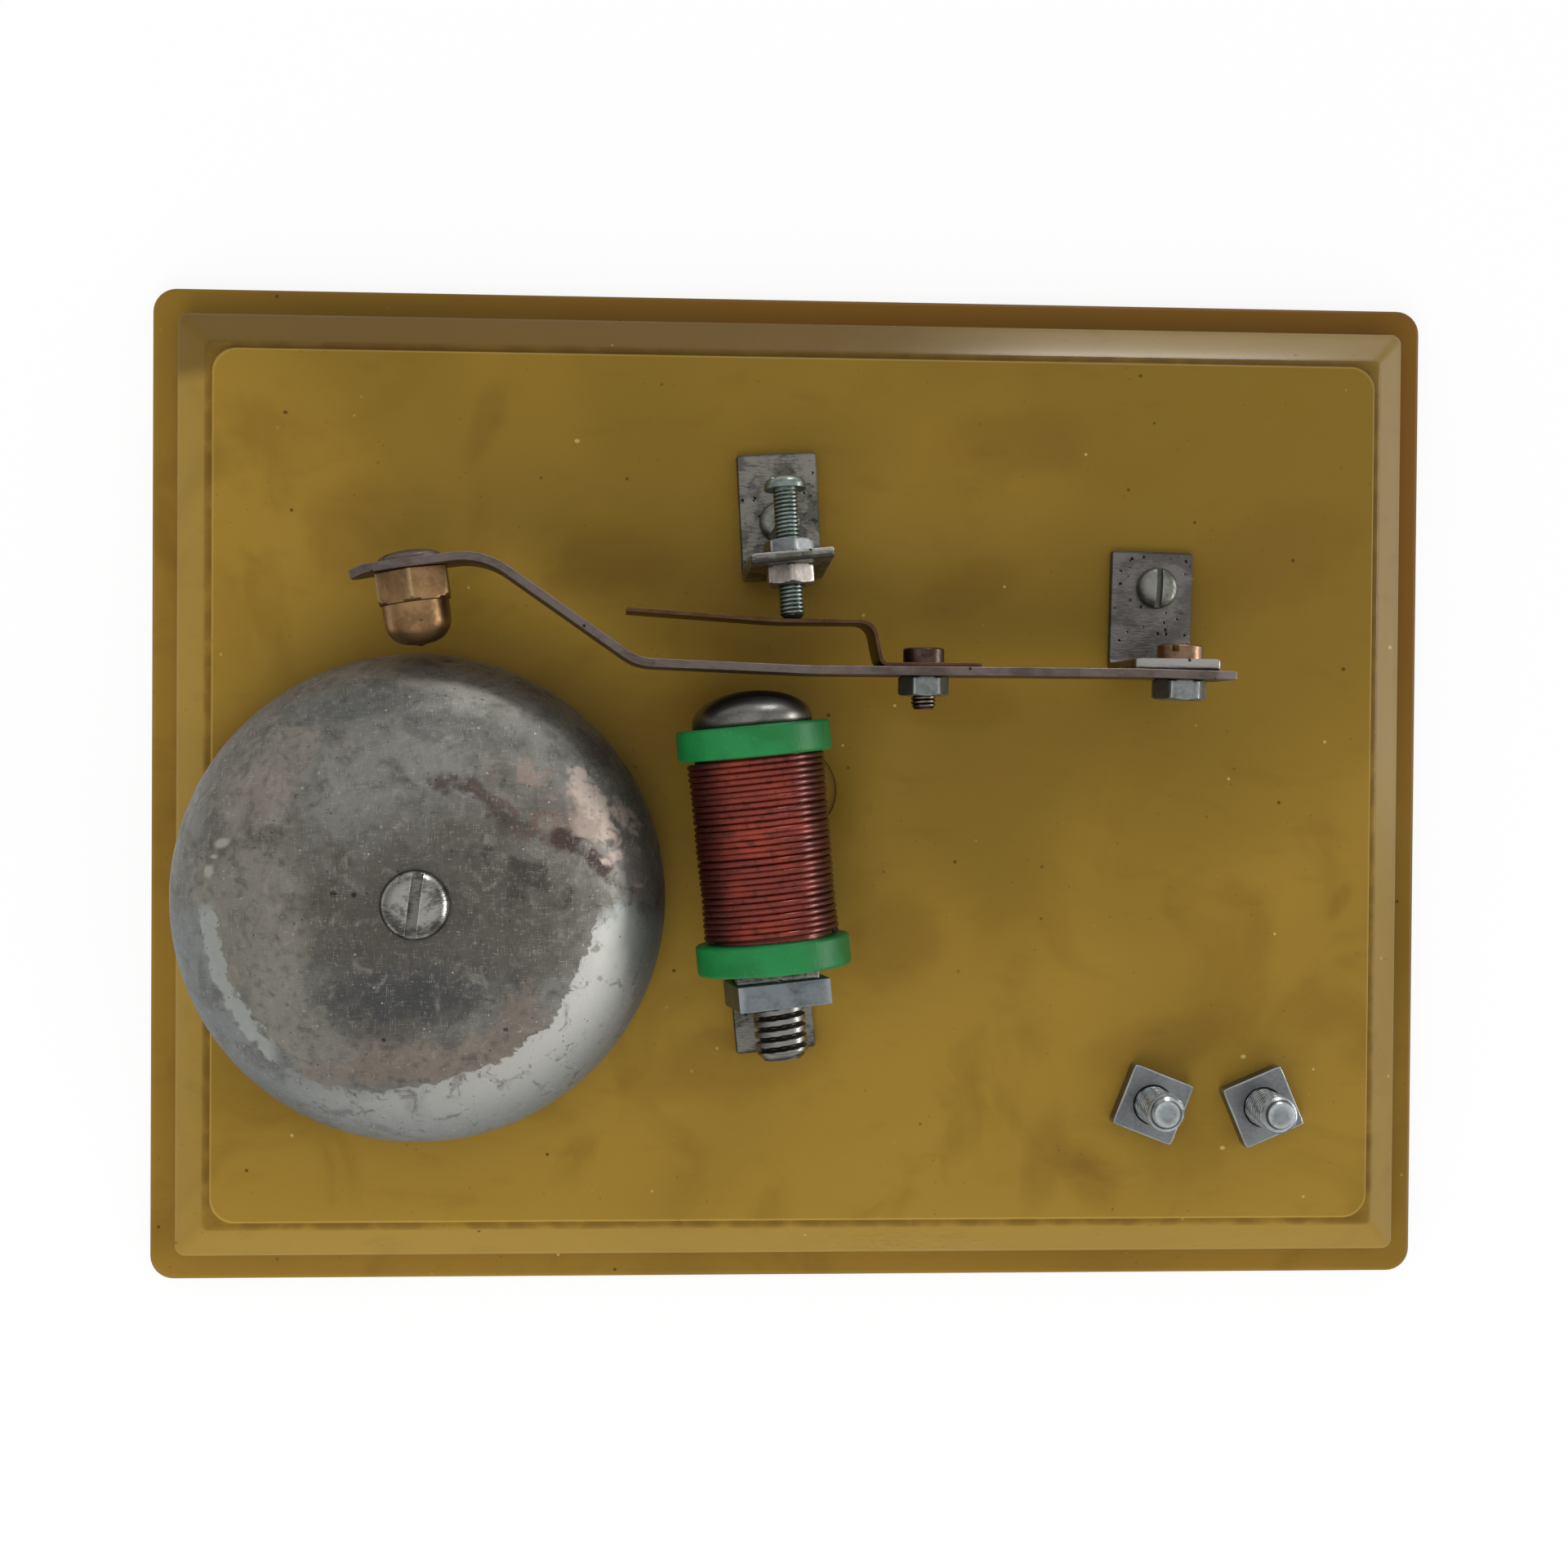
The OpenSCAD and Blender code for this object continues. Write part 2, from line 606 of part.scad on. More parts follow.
module contact_bracket() {
    color([0.47, 0.48, 0.47]) at_contact(0) translate([0, 0, -axis_h])
        angle_bracket(bracket_w, contact_foot_l, axis_h + 5.3, axis_h, contact_d + 4 * slip,
            contact_foot_hole, m3 + 2 * slip, lean = contact_lean);
}

module contact_screw() {
    color([0.60, 0.64, 0.60]) at_contact() translate([0, contact_l - contact_reach, 0])
        rotate([-90, 0, 0]) {
            slotted_head(contact_head_d, contact_head_h, 0.7, 0.8, 0.9, 35);
            shank(contact_d, contact_l);
        }
}

module lock_nut_front() {
    color([0.55, 0.58, 0.56]) at_contact() translate([0, -slip, 0])
        rotate([90, 0, 0]) hex_nut(m3_nut_w, m3_nut_t, contact_d + 2 * slip);
}

module lock_nut_rear() {
    color([0.55, 0.58, 0.56]) at_contact() translate([0, bracket_t + slip, 0])
        rotate([-90, 12, 0]) hex_nut(m3_nut_w, lock_nut_rear_t, contact_d + 2 * slip);
}

// ---- armature and hammer --------------------------------------------------------------

crank = [crank_x, arm_y + 0.75];                         // lower bend; the strip bows slightly to it
hammer_root = [hammer_x, hammer_y];
shoulder = meeting(crank, 180 - crank_rise, hammer_root, hammer_turn);
nose = hammer_root - turned([5.2, 0], hammer_turn);      // slight droop at the strip's end
tip = nose - turned([2.1, 0], hammer_turn + 8);
strip_line = rounded_path([[flex_x, arm_y], [0, arm_y], crank, shoulder, nose, tip], [60, 6, 9, 4]);
strip_z = axis_z - strip_w / 2;

module armature_strip() {
    screw_hole_d = 4.2;
    color([0.36, 0.33, 0.33]) difference() {
        intersection() {
            translate([0, 0, strip_z]) linear_extrude(strip_w) polygon(bent_sheet(strip_line, strip_t));
            union() {                                    // rounded end beyond the hammer
                translate([tip.x + strip_w / 2, 0, axis_z]) rotate([-90, 0, 0])
                    cylinder(d = strip_w, h = 40);
                translate([tip.x + strip_w / 2, 0, strip_z]) cube([flex_x - tip.x, 40, strip_w]);
            }
        }
        at_hammer() rotate([90, 0, 0]) cylinder(d = screw_hole_d, h = 4, center = true);
        translate([leaf_screw_x, arm_y, axis_z]) rotate([90, 0, 0])
            cylinder(d = m3 + 2 * slip, h = 4, center = true);
    }
}

// The clamped end of the same strip, on the other side of the edge that it flexes at.
module armature_root() {
    root = [clamp_x, arm_y - 0.1 - contact_gap];
    run = turned([1, 0], armature_turn);
    line = [root + run * (flex_x + joint_gap - clamp_x), root + run * (strip_end_x - clamp_x)];
    color([0.36, 0.33, 0.33]) difference() {
        translate([0, 0, strip_z]) linear_extrude(strip_w) polygon(bent_sheet(line, strip_t));
        translate([clamp_x, root.y, axis_z]) rotate([90, 0, armature_turn])
            cylinder(d = clamp_d + 2 * slip, h = 4, center = true);
    }
}

// Sets its children in the hammer's frame: origin in the strip, y away from the gong.
module at_hammer() {
    translate([hammer_x, hammer_y, axis_z]) rotate(hammer_turn) children();
}

module hammer_nut() {
    hex_l = 4;
    dome_d = cap_w * 0.955;
    dome_l = cap_l - hex_l;
    shoulder_l = dome_l * 0.42;
    corner = cap_w / 2 / cos(30);
    color([0.62, 0.47, 0.32]) at_hammer() translate([0, -strip_t / 2, 0]) rotate([90, 0, 0]) {
        difference() {
            intersection() {
                rotate(30) cylinder(r = corner, h = hex_l, $fn = 6);
                rotate_extrude() polygon([[0, 0], [corner - 0.2, 0], [corner, 0.2],
                    [corner, hex_l - 0.5], [dome_d / 2 + 0.1, hex_l], [0, hex_l]]);
            }
            translate([0, 0, -eps]) cylinder(d = 4.1, h = hex_l - 0.4);
        }
        translate([0, 0, hex_l]) rotate_extrude() polygon(concat(
            [[0, -0.2], [dome_d / 2, -0.2], [dome_d / 2, 0]],
            [for (i = [0 : 10]) let (a = 90 * i / 10)
                [dome_d / 2 * 0.96 * cos(a) ^ 0.75, shoulder_l + (dome_l - shoulder_l) * sin(a)]]));
    }
}

module hammer_screw() {
    head_d = 7.6;
    head_h = 1.3;
    color([0.38, 0.35, 0.35]) at_hammer() translate([0, strip_t / 2, 0]) rotate([-90, 0, 0]) {
        slotted_head(head_d, head_h, 0.35, 1, 0.6, 40);
        shank(4, strip_t + 3.4);
    }
}

// ---- armature bracket and clamp -------------------------------------------------------

module at_clamp() {
    translate([armature_face.x, armature_face.y, axis_z]) rotate(armature_turn) children();
}

module armature_bracket() {
    offset = 1.2;                                        // of the clamp screw from the sheet's middle
    color([0.40, 0.40, 0.40]) at_clamp() translate([-offset, 0, -axis_h])
        angle_bracket(bracket_w + 0.4, foot_l, axis_h + 4.2, axis_h, clamp_d + 2 * slip,
            armature_foot_hole, m3 + 2 * slip, offset, offset + armature_foot_shift);
}

module clamp_screw() {
    color([0.66, 0.55, 0.40]) at_clamp() translate([0, bracket_t, 0]) rotate([-90, 0, 0]) {
        cheese_head(clamp_head_d, clamp_head_h, 0.9, 0.9, 65);
        shank(clamp_d, bracket_t + strip_t + 3.4);
    }
}

module clamp_nut() {
    color([0.42, 0.42, 0.42]) at_clamp() translate([0, -strip_t - 2 * contact_gap, 0]) rotate([90, 30, 0])
        hex_nut(clamp_nut_w, 2.5, clamp_d + 2 * slip);
}

// ---- contact spring -------------------------------------------------------------------

leaf_z = axis_z - leaf_w / 2;
leaf_root = [leaf_root_x, spring_line_y];
leaf_bend = 0.9;                                         // radius of the bend at the armature
leaf_lean = 12;                                          // lean of the riser towards the contact

module leaf(line) {
    translate([0, 0, leaf_z]) linear_extrude(leaf_w) polygon(bent_sheet(line, leaf_t));
}

module contact_spring_foot() {
    foot_end_x = 20.5;
    color([0.30, 0.20, 0.13]) difference() {
        leaf([[foot_end_x, spring_line_y], leaf_root + [joint_gap, 0]]);
        translate([leaf_screw_x, arm_y, axis_z]) rotate([90, 0, 0])
            cylinder(d = m3 + 2 * slip, h = 6, center = true);
    }
}

// The free part: up off the armature, along under the contact's tip, and on to a bent-away end.
module contact_spring_blade() {
    foot_corner = leaf_root - [leaf_bend * tan((90 - leaf_lean) / 2) + joint_gap, 0];
    top_corner = foot_corner + [-leaf_rise * tan(leaf_lean), leaf_rise];
    kink = [contact_x - 2, leaf_run_y];
    free_end = [leaf_tip_x, leaf_run_y + 1.15];
    color([0.38, 0.25, 0.16])
        leaf(rounded_path([leaf_root, foot_corner, top_corner, kink, free_end], [leaf_bend, 2, 30]));
}

module contact_spring_screw() {
    color([0.42, 0.37, 0.34]) translate([leaf_screw_x, spring_line_y + leaf_t / 2, axis_z])
        rotate([-90, 0, 0]) {
            cheese_head(5, 1.9, 0.8, 0.8, 15);
            shank(m3, leaf_t + strip_t + m3_nut_t + 1.6);
        }
}

module contact_spring_nut() {
    color([0.50, 0.53, 0.52]) translate([leaf_screw_x, arm_y - strip_t / 2, axis_z]) rotate([90, 30, 0])
        hex_nut(m3_nut_w, m3_nut_t, m3 + 2 * slip);
}

// ---- terminals ------------------------------------------------------------------------

// Diameter at which the stud's rolled thread is drawn inside the nut and the board: the thread's
// effective diameter, and that of the plain shank below it.
stud_shank_d = stud_d - 0.49;

// Bolt from under the board, its head clamping a wire of thickness seat against it. The free end
// above the nut is drawn at the thread's full diameter.
module terminal_bolt(at, seat) {
    head_h = 2.6;
    free_z = board_h + stud_nut_t + 0.3;                 // where the free end starts, clear of the nut
    top_z = board_h + stud_h;
    translate([at.x, at.y, ceiling_z - seat]) {
        mirror([0, 0, 1]) slotted_head(stud_d * 1.8, head_h, 0.9, 1, 1, 30);
        cylinder(d = stud_shank_d, h = free_z + eps - ceiling_z + seat);
    }
    translate([at.x, at.y, free_z]) mirror([0, 0, 1]) shank(stud_d, top_z - free_z);
}

module terminal_nut(at, angle) {
    translate([at.x, at.y, board_h]) rotate(angle)
        square_nut(stud_nut_w, stud_nut_t, stud_shank_d + 2 * slip);
}

module terminal_bolt_left() color([0.62, 0.66, 0.66]) terminal_bolt(stud_left, lead_d + 2 * contact_gap);
module terminal_nut_left() color([0.50, 0.53, 0.50]) terminal_nut(stud_left, -21.5);
module terminal_bolt_right() color([0.62, 0.66, 0.66]) terminal_bolt(stud_right, link_d + 2 * contact_gap);
module terminal_nut_right() color([0.50, 0.53, 0.50]) terminal_nut(stud_right, 23);

// ---- wiring ---------------------------------------------------------------------------

wire_bend_r = 2;
function wire_route(p) = rounded_path(p, [for (i = [2 : len(p) - 1]) wire_bend_r]);

// From the coil's side down through the mark, and under the board to the contact bracket's screw.
module coil_lead_start() {
    end = hook(contact_foot_screw, m3 + 2 * slip, lead_d);
    route = [lead_start - [0, 0, turn_d], [lead_start.x, lead_start.y, wire_z],
             end[0] - [0, 14, end[0].z - wire_z], end[0] - [0, 4, 0], end[0]];
    color([0.47, 0.19, 0.15]) wire(concat(wire_route(route), end), lead_d, 8, [0, 1, 0]);
}

// From under the coil down through the board, and along it to the left terminal's bolt.
module coil_lead_end() {
    end = hook(stud_left, stud_d + 2 * slip, lead_d);
    route = [lead_end - [0, 0, turn_d], [lead_end.x, lead_end.y, wire_z], [18, -27, wire_z],
             [end[0].x + 1, -54, wire_z], [end[0].x + 1, -51, wire_z],
             end[0] - [0, 4, 0], end[0]];
    color([0.47, 0.19, 0.15]) wire(concat(wire_route(route), end), lead_d, 8, [0, 1, 0]);
}

// From the right terminal's bolt along under the board to the armature bracket's screw.
module link_wire() {
    start = backwards(hook(stud_right, stud_d + 2 * slip, link_d));
    end = hook(armature_foot_screw, m3 + 2 * slip, link_d);
    route = [start[14], start[14] - [0, 5, 0], [68, -48, wire_z], [69, -30, wire_z],
             [50, -6, wire_z], end[0] - [0, 12, end[0].z - wire_z], end[0] - [0, 4, 0], end[0]];
    color([0.55, 0.10, 0.08]) wire(concat(start, wire_route(route), end), link_d, 8, [0, 0, 1]);
}

// ---- the whole bell -------------------------------------------------------------------

base_board();
gong_pillar();
gong();
gong_screw();
gong_nut();
coil_bobbin();
winding_inner();
winding_outer();
core_bolt();
core_nut();
coil_bracket();
coil_bracket_screw();
coil_bracket_nut();
contact_bracket();
contact_bracket_screw();
contact_bracket_nut();
contact_screw();
lock_nut_front();
lock_nut_rear();
armature_bracket();
armature_bracket_screw();
armature_bracket_nut();
armature_root();
clamp_screw();
clamp_nut();
armature_strip();
hammer_nut();
hammer_screw();
contact_spring_foot();
contact_spring_screw();
contact_spring_nut();
contact_spring_blade();
terminal_bolt_left();
terminal_nut_left();
terminal_bolt_right();
terminal_nut_right();
coil_lead_start();
coil_lead_end();
link_wire();
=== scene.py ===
"""Electric bell demonstrator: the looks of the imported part, in the part's own frame.

Every surface is worked out in millimetres with numpy and set into its mesh in metres.
The sections follow the bell as it is put together, from the board up.
"""

import bmesh
import bpy
import numpy as np
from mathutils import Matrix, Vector


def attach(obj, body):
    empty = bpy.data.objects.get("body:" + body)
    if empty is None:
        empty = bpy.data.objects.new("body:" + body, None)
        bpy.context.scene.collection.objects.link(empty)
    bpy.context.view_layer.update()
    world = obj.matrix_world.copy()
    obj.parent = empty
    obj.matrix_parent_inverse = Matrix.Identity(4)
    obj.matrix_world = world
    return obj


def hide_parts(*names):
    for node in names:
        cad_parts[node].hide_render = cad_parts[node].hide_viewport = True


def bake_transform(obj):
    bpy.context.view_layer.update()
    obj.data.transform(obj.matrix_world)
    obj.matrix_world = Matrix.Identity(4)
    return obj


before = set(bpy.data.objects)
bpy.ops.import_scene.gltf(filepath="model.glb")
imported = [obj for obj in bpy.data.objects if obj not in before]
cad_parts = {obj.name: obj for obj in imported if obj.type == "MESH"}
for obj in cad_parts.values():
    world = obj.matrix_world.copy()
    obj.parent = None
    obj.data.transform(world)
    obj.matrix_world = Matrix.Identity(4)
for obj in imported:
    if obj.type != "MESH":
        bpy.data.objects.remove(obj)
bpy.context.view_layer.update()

# ---- Table, light and camera ------------------------------------------------------------
# The bell lies on a plain white table in a soft studio: a pale room that is brighter overhead,
# one broad lamp that lights dull surfaces, and two low cards that only glossy ones mirror.


class Shade:
    """A number that varies over a surface; arithmetic on it adds Math nodes."""

    def __init__(self, nodes, socket):
        self.nodes, self.socket = nodes, socket

    def math(self, operation, *others):
        return self.nodes.node("ShaderNodeMath", {"operation": operation}, dict(enumerate((self, *others))))

    def __add__(self, other):
        return self.math("ADD", other)

    def __sub__(self, other):
        return self.math("SUBTRACT", other)

    def __rsub__(self, other):
        return self * -1.0 + other

    def __mul__(self, other):
        return self.math("MULTIPLY", other)

    def __truediv__(self, other):
        return self.math("DIVIDE", other)

    def __pow__(self, other):
        return self.math("POWER", other)

    __radd__, __rmul__ = __add__, __mul__


class Nodes:
    """One node tree. node() makes any node: settings first, then sockets' values or links."""

    def __init__(self, tree):
        self.tree = tree

    def node(self, kind, settings=None, sockets=None, out=0):
        made = self.tree.nodes.new(kind)
        for setting, value in (settings or {}).items():
            setattr(made, setting, value)
        self.fill(made, sockets or {})
        return Shade(self, made.outputs[out])

    def fill(self, made, sockets):
        for name, value in sockets.items():
            if isinstance(value, Shade):
                self.tree.links.new(value.socket, made.inputs[name])
            else:
                made.inputs[name].default_value = value

    def rise(self, value, low, high):
        """0 up to low, 1 from high on, and a smooth step between; it falls if low > high."""
        return self.node("ShaderNodeMapRange", {"interpolation_type": "SMOOTHSTEP"},
                         {"Value": value, "From Min": low, "From Max": high})

    def band(self, value, low, full, fade, high):
        """0 up to low, 1 from full to fade and 0 from high on, with smooth steps between."""
        return self.rise(value, low, full) * self.rise(value, high, fade)

    def ray(self, kind):
        """1 on light paths of a kind, such as Camera, and 0 on all others."""
        return self.node("ShaderNodeLightPath", out=f"Is {kind} Ray")

    def tone(self, first, second, share):
        """Colour that is first where share is 0 and second where it is 1."""
        return self.node("ShaderNodeMix", {"data_type": "RGBA"}, {0: share, 6: first, 7: second}, out=2)


def paint(red, green, blue):
    """Linear colour of a paint read as 0 to 255 on a screen."""
    screen = np.array([red, green, blue]) / 255
    linear = np.where(screen <= 0.04045, screen / 12.92, ((screen + 0.055) / 1.055) ** 2.4)
    return (*linear.tolist(), 1.0)


def shown(name, data):
    """An object of a mesh, a lamp or a camera, put in the scene."""
    made = bpy.data.objects.new(name, data)
    bpy.context.scene.collection.objects.link(made)
    return made


room = bpy.data.worlds.new("room")
room.use_nodes = True
bpy.context.scene.world = room
air = Nodes(room.node_tree)
aside, beyond, upward = (
    air.node("ShaderNodeSeparateXYZ", {}, {0: air.node("ShaderNodeTexCoord")}, out=axis) for axis in range(3))
seen = air.ray("Camera").math("MAXIMUM", air.ray("Transmission"))
mirrored = air.ray("Glossy")
overhead = 0.45 + 0.5 * air.rise(upward, 0.35, 0.8)
window = air.rise(aside, 0.8, 0.93) * air.band(upward, 0.02, 0.12, 0.3, 0.42)
far_wall = air.rise(beyond, 0.55, 0.85) * air.rise(upward, 0.4, 0.1)
mirror_room = overhead + 1.2 * window + 0.5 * far_wall
room_light = 0.92 * (1.0 - 0.2 * beyond)
air.fill(room.node_tree.nodes["Background"], {
    "Color": (1.0, 1.0, 1.0, 1.0),
    "Strength": seen + (1.0 - seen) * (mirrored * mirror_room + (1.0 - mirrored) * room_light)})

square_corners = ((1, 1), (-1, 1), (-1, -1), (1, -1))
table_half, table_z = 3.0, -0.0002
table = bpy.data.meshes.new("table_top")
table.from_pydata([(x * table_half, y * table_half, table_z) for x, y in square_corners], [], [(0, 1, 2, 3)])
table_top = shown("table_top", table)
white_top = bpy.data.materials.new("white_table")
white_top.use_nodes = True
top = Nodes(white_top.node_tree)
paper = top.node("ShaderNodeBsdfDiffuse", {}, {"Color": (0.9, 0.9, 0.9, 1.0)})
glow = top.node("ShaderNodeEmission", {}, {"Color": (1.0, 1.0, 1.0, 1.0), "Strength": 1.0})
looked_at = top.ray("Camera").math("MAXIMUM", top.ray("Glossy")).math("MAXIMUM", top.ray("Transmission"))
lit_top = top.node("ShaderNodeMixShader", {}, {0: looked_at * 0.86, 1: paper, 2: glow})
under = top.node("ShaderNodeNewGeometry", out="Backfacing")
clear = top.node("ShaderNodeBsdfTransparent")
top.fill(white_top.node_tree.nodes["Material Output"], {
    "Surface": top.node("ShaderNodeMixShader", {}, {0: under, 1: lit_top, 2: clear})})
table.materials.append(white_top)


def lamp(name, place, target, size, watts, card=False):
    """Area lamp at a place in metres, turned so that its face looks at the target. A card is
    seen in glossy surfaces only, and any other lamp lights the dull ones only."""
    light = bpy.data.lights.new(name, "AREA")
    light.shape, light.size, light.size_y, light.energy = "RECTANGLE", *size, watts
    made = shown(name, light)
    made.location = place
    made.rotation_euler = (Vector(target) - Vector(place)).to_track_quat("-Z", "Y").to_euler()
    made.visible_camera, made.visible_glossy, made.visible_diffuse = False, card, not card


lamp("broad_lamp", (-0.12, -0.42, 0.56), (0, 0, 0), (0.45, 0.45), 1.5)
lamp("right_card", (0.6, 0.0, 0.13), (0, 0, 0.01), (0.5, 0.05), 1.6, card=True)
lamp("far_right_card", (0.16, 0.62, 0.1), (0.06, 0, 0.01), (0.12, 0.05), 0.9, card=True)

view = bpy.data.cameras.new("camera")
view.sensor_width, view.lens, view.shift_x = 36.0, 54.375, 0.03
view.clip_start, view.clip_end = 0.01, 20.0
camera = shown("camera", view)
camera.location = (-0.026706, 0.005227, 0.310090)
camera.rotation_euler = np.radians((-0.8890, -3.5985, 0.4013))
bpy.context.scene.camera = camera
bpy.context.scene.view_settings.view_transform = "Standard"

# ---- Base board -------------------------------------------------------------------------
# One shell moulded in ochre plastic, hollow and ribbed underneath: a low flange, a bevelled
# block and a flat field that stands one small step above a gutter. It is stained and dusty.


def piece(name, *grids, crease=32):
    """One closed mesh from grids of points in millimetres.

    A grid is (points[row, place, xyz], wear[row, place], ring). Each row is a closed loop and
    follows the one before. A ring joins its last row to its first; otherwise a face closes
    each end. wear is up to 1 where handling rubs the surface, and below 0 where grime stays;
    the coil's and the contact's brackets also set it below 0 along their uprights' top edges,
    as painted shade.
    """
    vertices, faces, wear = [], [], []
    for points, worn, ring in grids:
        rows, places = points.shape[:2]
        index = sum(map(len, vertices)) + np.arange(rows * places).reshape(rows, places)
        lower = index if ring else index[:-1]
        upper = np.roll(index, -1, 0) if ring else index[1:]
        corners = (lower, np.roll(lower, -1, 1), np.roll(upper, -1, 1), upper)
        faces += np.stack(corners, -1).reshape(-1, 4).tolist()
        if not ring:
            faces += [index[0, ::-1].tolist(), index[-1].tolist()]
        vertices.append(points.reshape(-1, 3))
        wear.append(np.broadcast_to(worn, (rows, places)).ravel())
    mesh = bpy.data.meshes.new(name)
    mesh.from_pydata((np.concatenate(vertices) / 1000).tolist(), [], faces)
    rubbed = mesh.attributes.new("wear", "FLOAT", "POINT")
    rubbed.data.foreach_set("value", np.concatenate(wear).astype(np.float32))
    form = bmesh.new()
    form.from_mesh(mesh)
    bmesh.ops.remove_doubles(form, verts=form.verts, dist=1e-7)
    bmesh.ops.recalc_face_normals(form, faces=form.faces)
    form.to_mesh(mesh)
    form.free()
    mesh.shade_smooth()
    mesh.set_sharp_from_angle(angle=np.radians(crease))
    return shown(name, mesh)


def dress(made, finish, slot, body, *nodes):
    """Gives a piece its finish, its body and the CAD nodes that it stands for."""
    made.data.materials.append(finish.material)
    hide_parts(*nodes)
    if body:
        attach(made, body)


def heading(degrees):
    """Unit vector at an angle from +X, in the plane of the board: its cosine and its sine."""
    return np.array([np.cos(np.radians(degrees)), np.sin(np.radians(degrees))])


def unit(vectors):
    """Vectors with their lengths made 1."""
    return vectors / np.linalg.norm(vectors, axis=-1, keepdims=True)


class Finish(Nodes):
    """A material, its fixed sockets, and the patterns that its varying ones are made from."""

    def __init__(self, name, fixed):
        self.material = bpy.data.materials.new(name)
        self.material.use_nodes = True
        super().__init__(self.material.node_tree)
        self.shader = self.tree.nodes["Principled BSDF"]
        self.fill(self.shader, fixed)
        self.place = self.node("ShaderNodeTexCoord", out="Object")
        self.wear = self.node("ShaderNodeAttribute", {"attribute_name": "wear"}, out="Fac")

    def cloud(self, size, detail=3.0, stretch=(1, 1, 1), at=(0, 0, 0), rough=0.5, warp=0.0):
        """Noise round 0.5 with lumps about size millimetres across, drawn out by stretch."""
        moved = self.node("ShaderNodeMapping", {}, {"Vector": self.place, "Location": at, "Scale": stretch})
        return self.node("ShaderNodeTexNoise", {}, {
            "Vector": moved, "Scale": 1000 / size, "Detail": detail, "Roughness": rough, "Distortion": warp})

    def specks(self, size, share, at=(0, 0, 0)):
        """1 in small round specks in a share of the cells of size millimetres, and 0 between."""
        moved = self.node("ShaderNodeMapping", {}, {"Vector": self.place, "Location": at})
        cells = {"Vector": moved, "Scale": 1000 / size}
        near = self.node("ShaderNodeTexVoronoi", {}, cells)
        chance = self.node("ShaderNodeTexWhiteNoise", {}, {
            0: self.node("ShaderNodeTexVoronoi", {}, cells, out="Color")})
        return self.rise(near, 0.24, 0.1) * self.rise(chance, share + 0.01, share)

    def parts(self):
        """The three coordinates of the surface's place, in millimetres."""
        kind = ("ShaderNodeSeparateXYZ", {}, {0: self.place})
        return [self.node(*kind, out=axis) * 1000.0 for axis in range(3)]

    def blot(self, across, up, ragged, x, y, reach, tall, turn=0.0):
        """1 inside an ellipse of half lengths reach and tall, with a soft and ragged rim."""
        c, s = heading(turn)
        along = ((across - x) * c + (up - y) * s) / reach
        over = ((up - y) * c - (across - x) * s) / tall
        return self.rise((along * along + over * over) ** 0.5 + ragged, 1.15, 0.45)

    def coated(self, colour, *coats):
        """A colour with coats laid on it in turn: each has a paint's (red, green, blue) and
        the share of it that covers."""
        for coat, share in coats:
            colour = self.tone(colour, paint(*coat), share)
        return colour

    def show(self, colour, rough, height=None, depth=0.02, **more):
        """Feeds the shader: a colour, a roughness, and bumps of a depth in millimetres."""
        sockets = {"Base Color": colour, "Roughness": rough, **more}
        if height is not None:
            sockets["Normal"] = self.node("ShaderNodeBump", {}, {"Height": height, "Distance": depth / 1000})
        self.fill(self.shader, sockets)


def rounded_line(points, radii, steps=7):
    """Line of points with each inner corner turned by an arc of its own radius."""
    points = np.asarray(points, float)
    pieces = [points[:1]]
    for before, corner, after, radius in zip(points, points[1:], points[2:], radii):
        u, v = unit(before - corner), unit(after - corner)
        opening = np.arccos(np.clip(u @ v, -1, 1))
        centre = corner + unit(u + v) * radius / np.sin(opening / 2)
        start = corner + u * radius / np.tan(opening / 2)
        sweep = np.linspace(0, np.pi - opening, steps)[:, None]
        pieces.append(centre + (start - centre) * np.cos(sweep) - u * radius * np.sin(sweep))
    return np.vstack([*pieces, points[-1:]])


board_l, board_w, board_h = 165.0, 127.0, 12.0
shell_t, flange_h, flange_w, border_w, step_h = 2.5, 3.0, 3.5, 8.9, 1.0
mark_x, mark_y, mark_r, mark_depth = -1.0, -0.05, 5.7, 0.5
ceiling_z = board_h - shell_t
ribs_x, rib_y, rib_t, rib_z = (-22.0, 24.0), 14.0, 1.8, 6.6


def board_rows(profile, corner_r):
    """A profile [inset, height] carried round a rectangle with round corners.

    Each row is the outline of the board drawn in by the row's inset: four quarter circles of
    the row's corner radius, joined by straight runs.
    """
    arc_points, straight_points = 9, 14
    inset, height = profile.T
    corner_r = np.broadcast_to(corner_r, inset.shape)[:, None]
    turn = np.radians(np.linspace(0, 90, arc_points))
    sides = []
    for quarter, (sx, sy) in enumerate(square_corners):
        angle = turn + quarter * np.pi / 2
        x = sx * (board_l / 2 - inset[:, None] - corner_r) + corner_r * np.cos(angle)
        y = sy * (board_w / 2 - inset[:, None] - corner_r) + corner_r * np.sin(angle)
        sides.append(np.stack([x, y], -1))
    share = np.linspace(0, 1, straight_points + 2)[1:-1, None]
    loops = []
    for side, following in zip(sides, sides[1:] + sides[:1]):
        straight = side[:, -1:] * (1 - share) + following[:, :1] * share
        loops += [side, straight]
    outline = np.concatenate(loops, 1)
    return np.dstack([outline, np.broadcast_to(height[:, None], outline.shape[:2])])


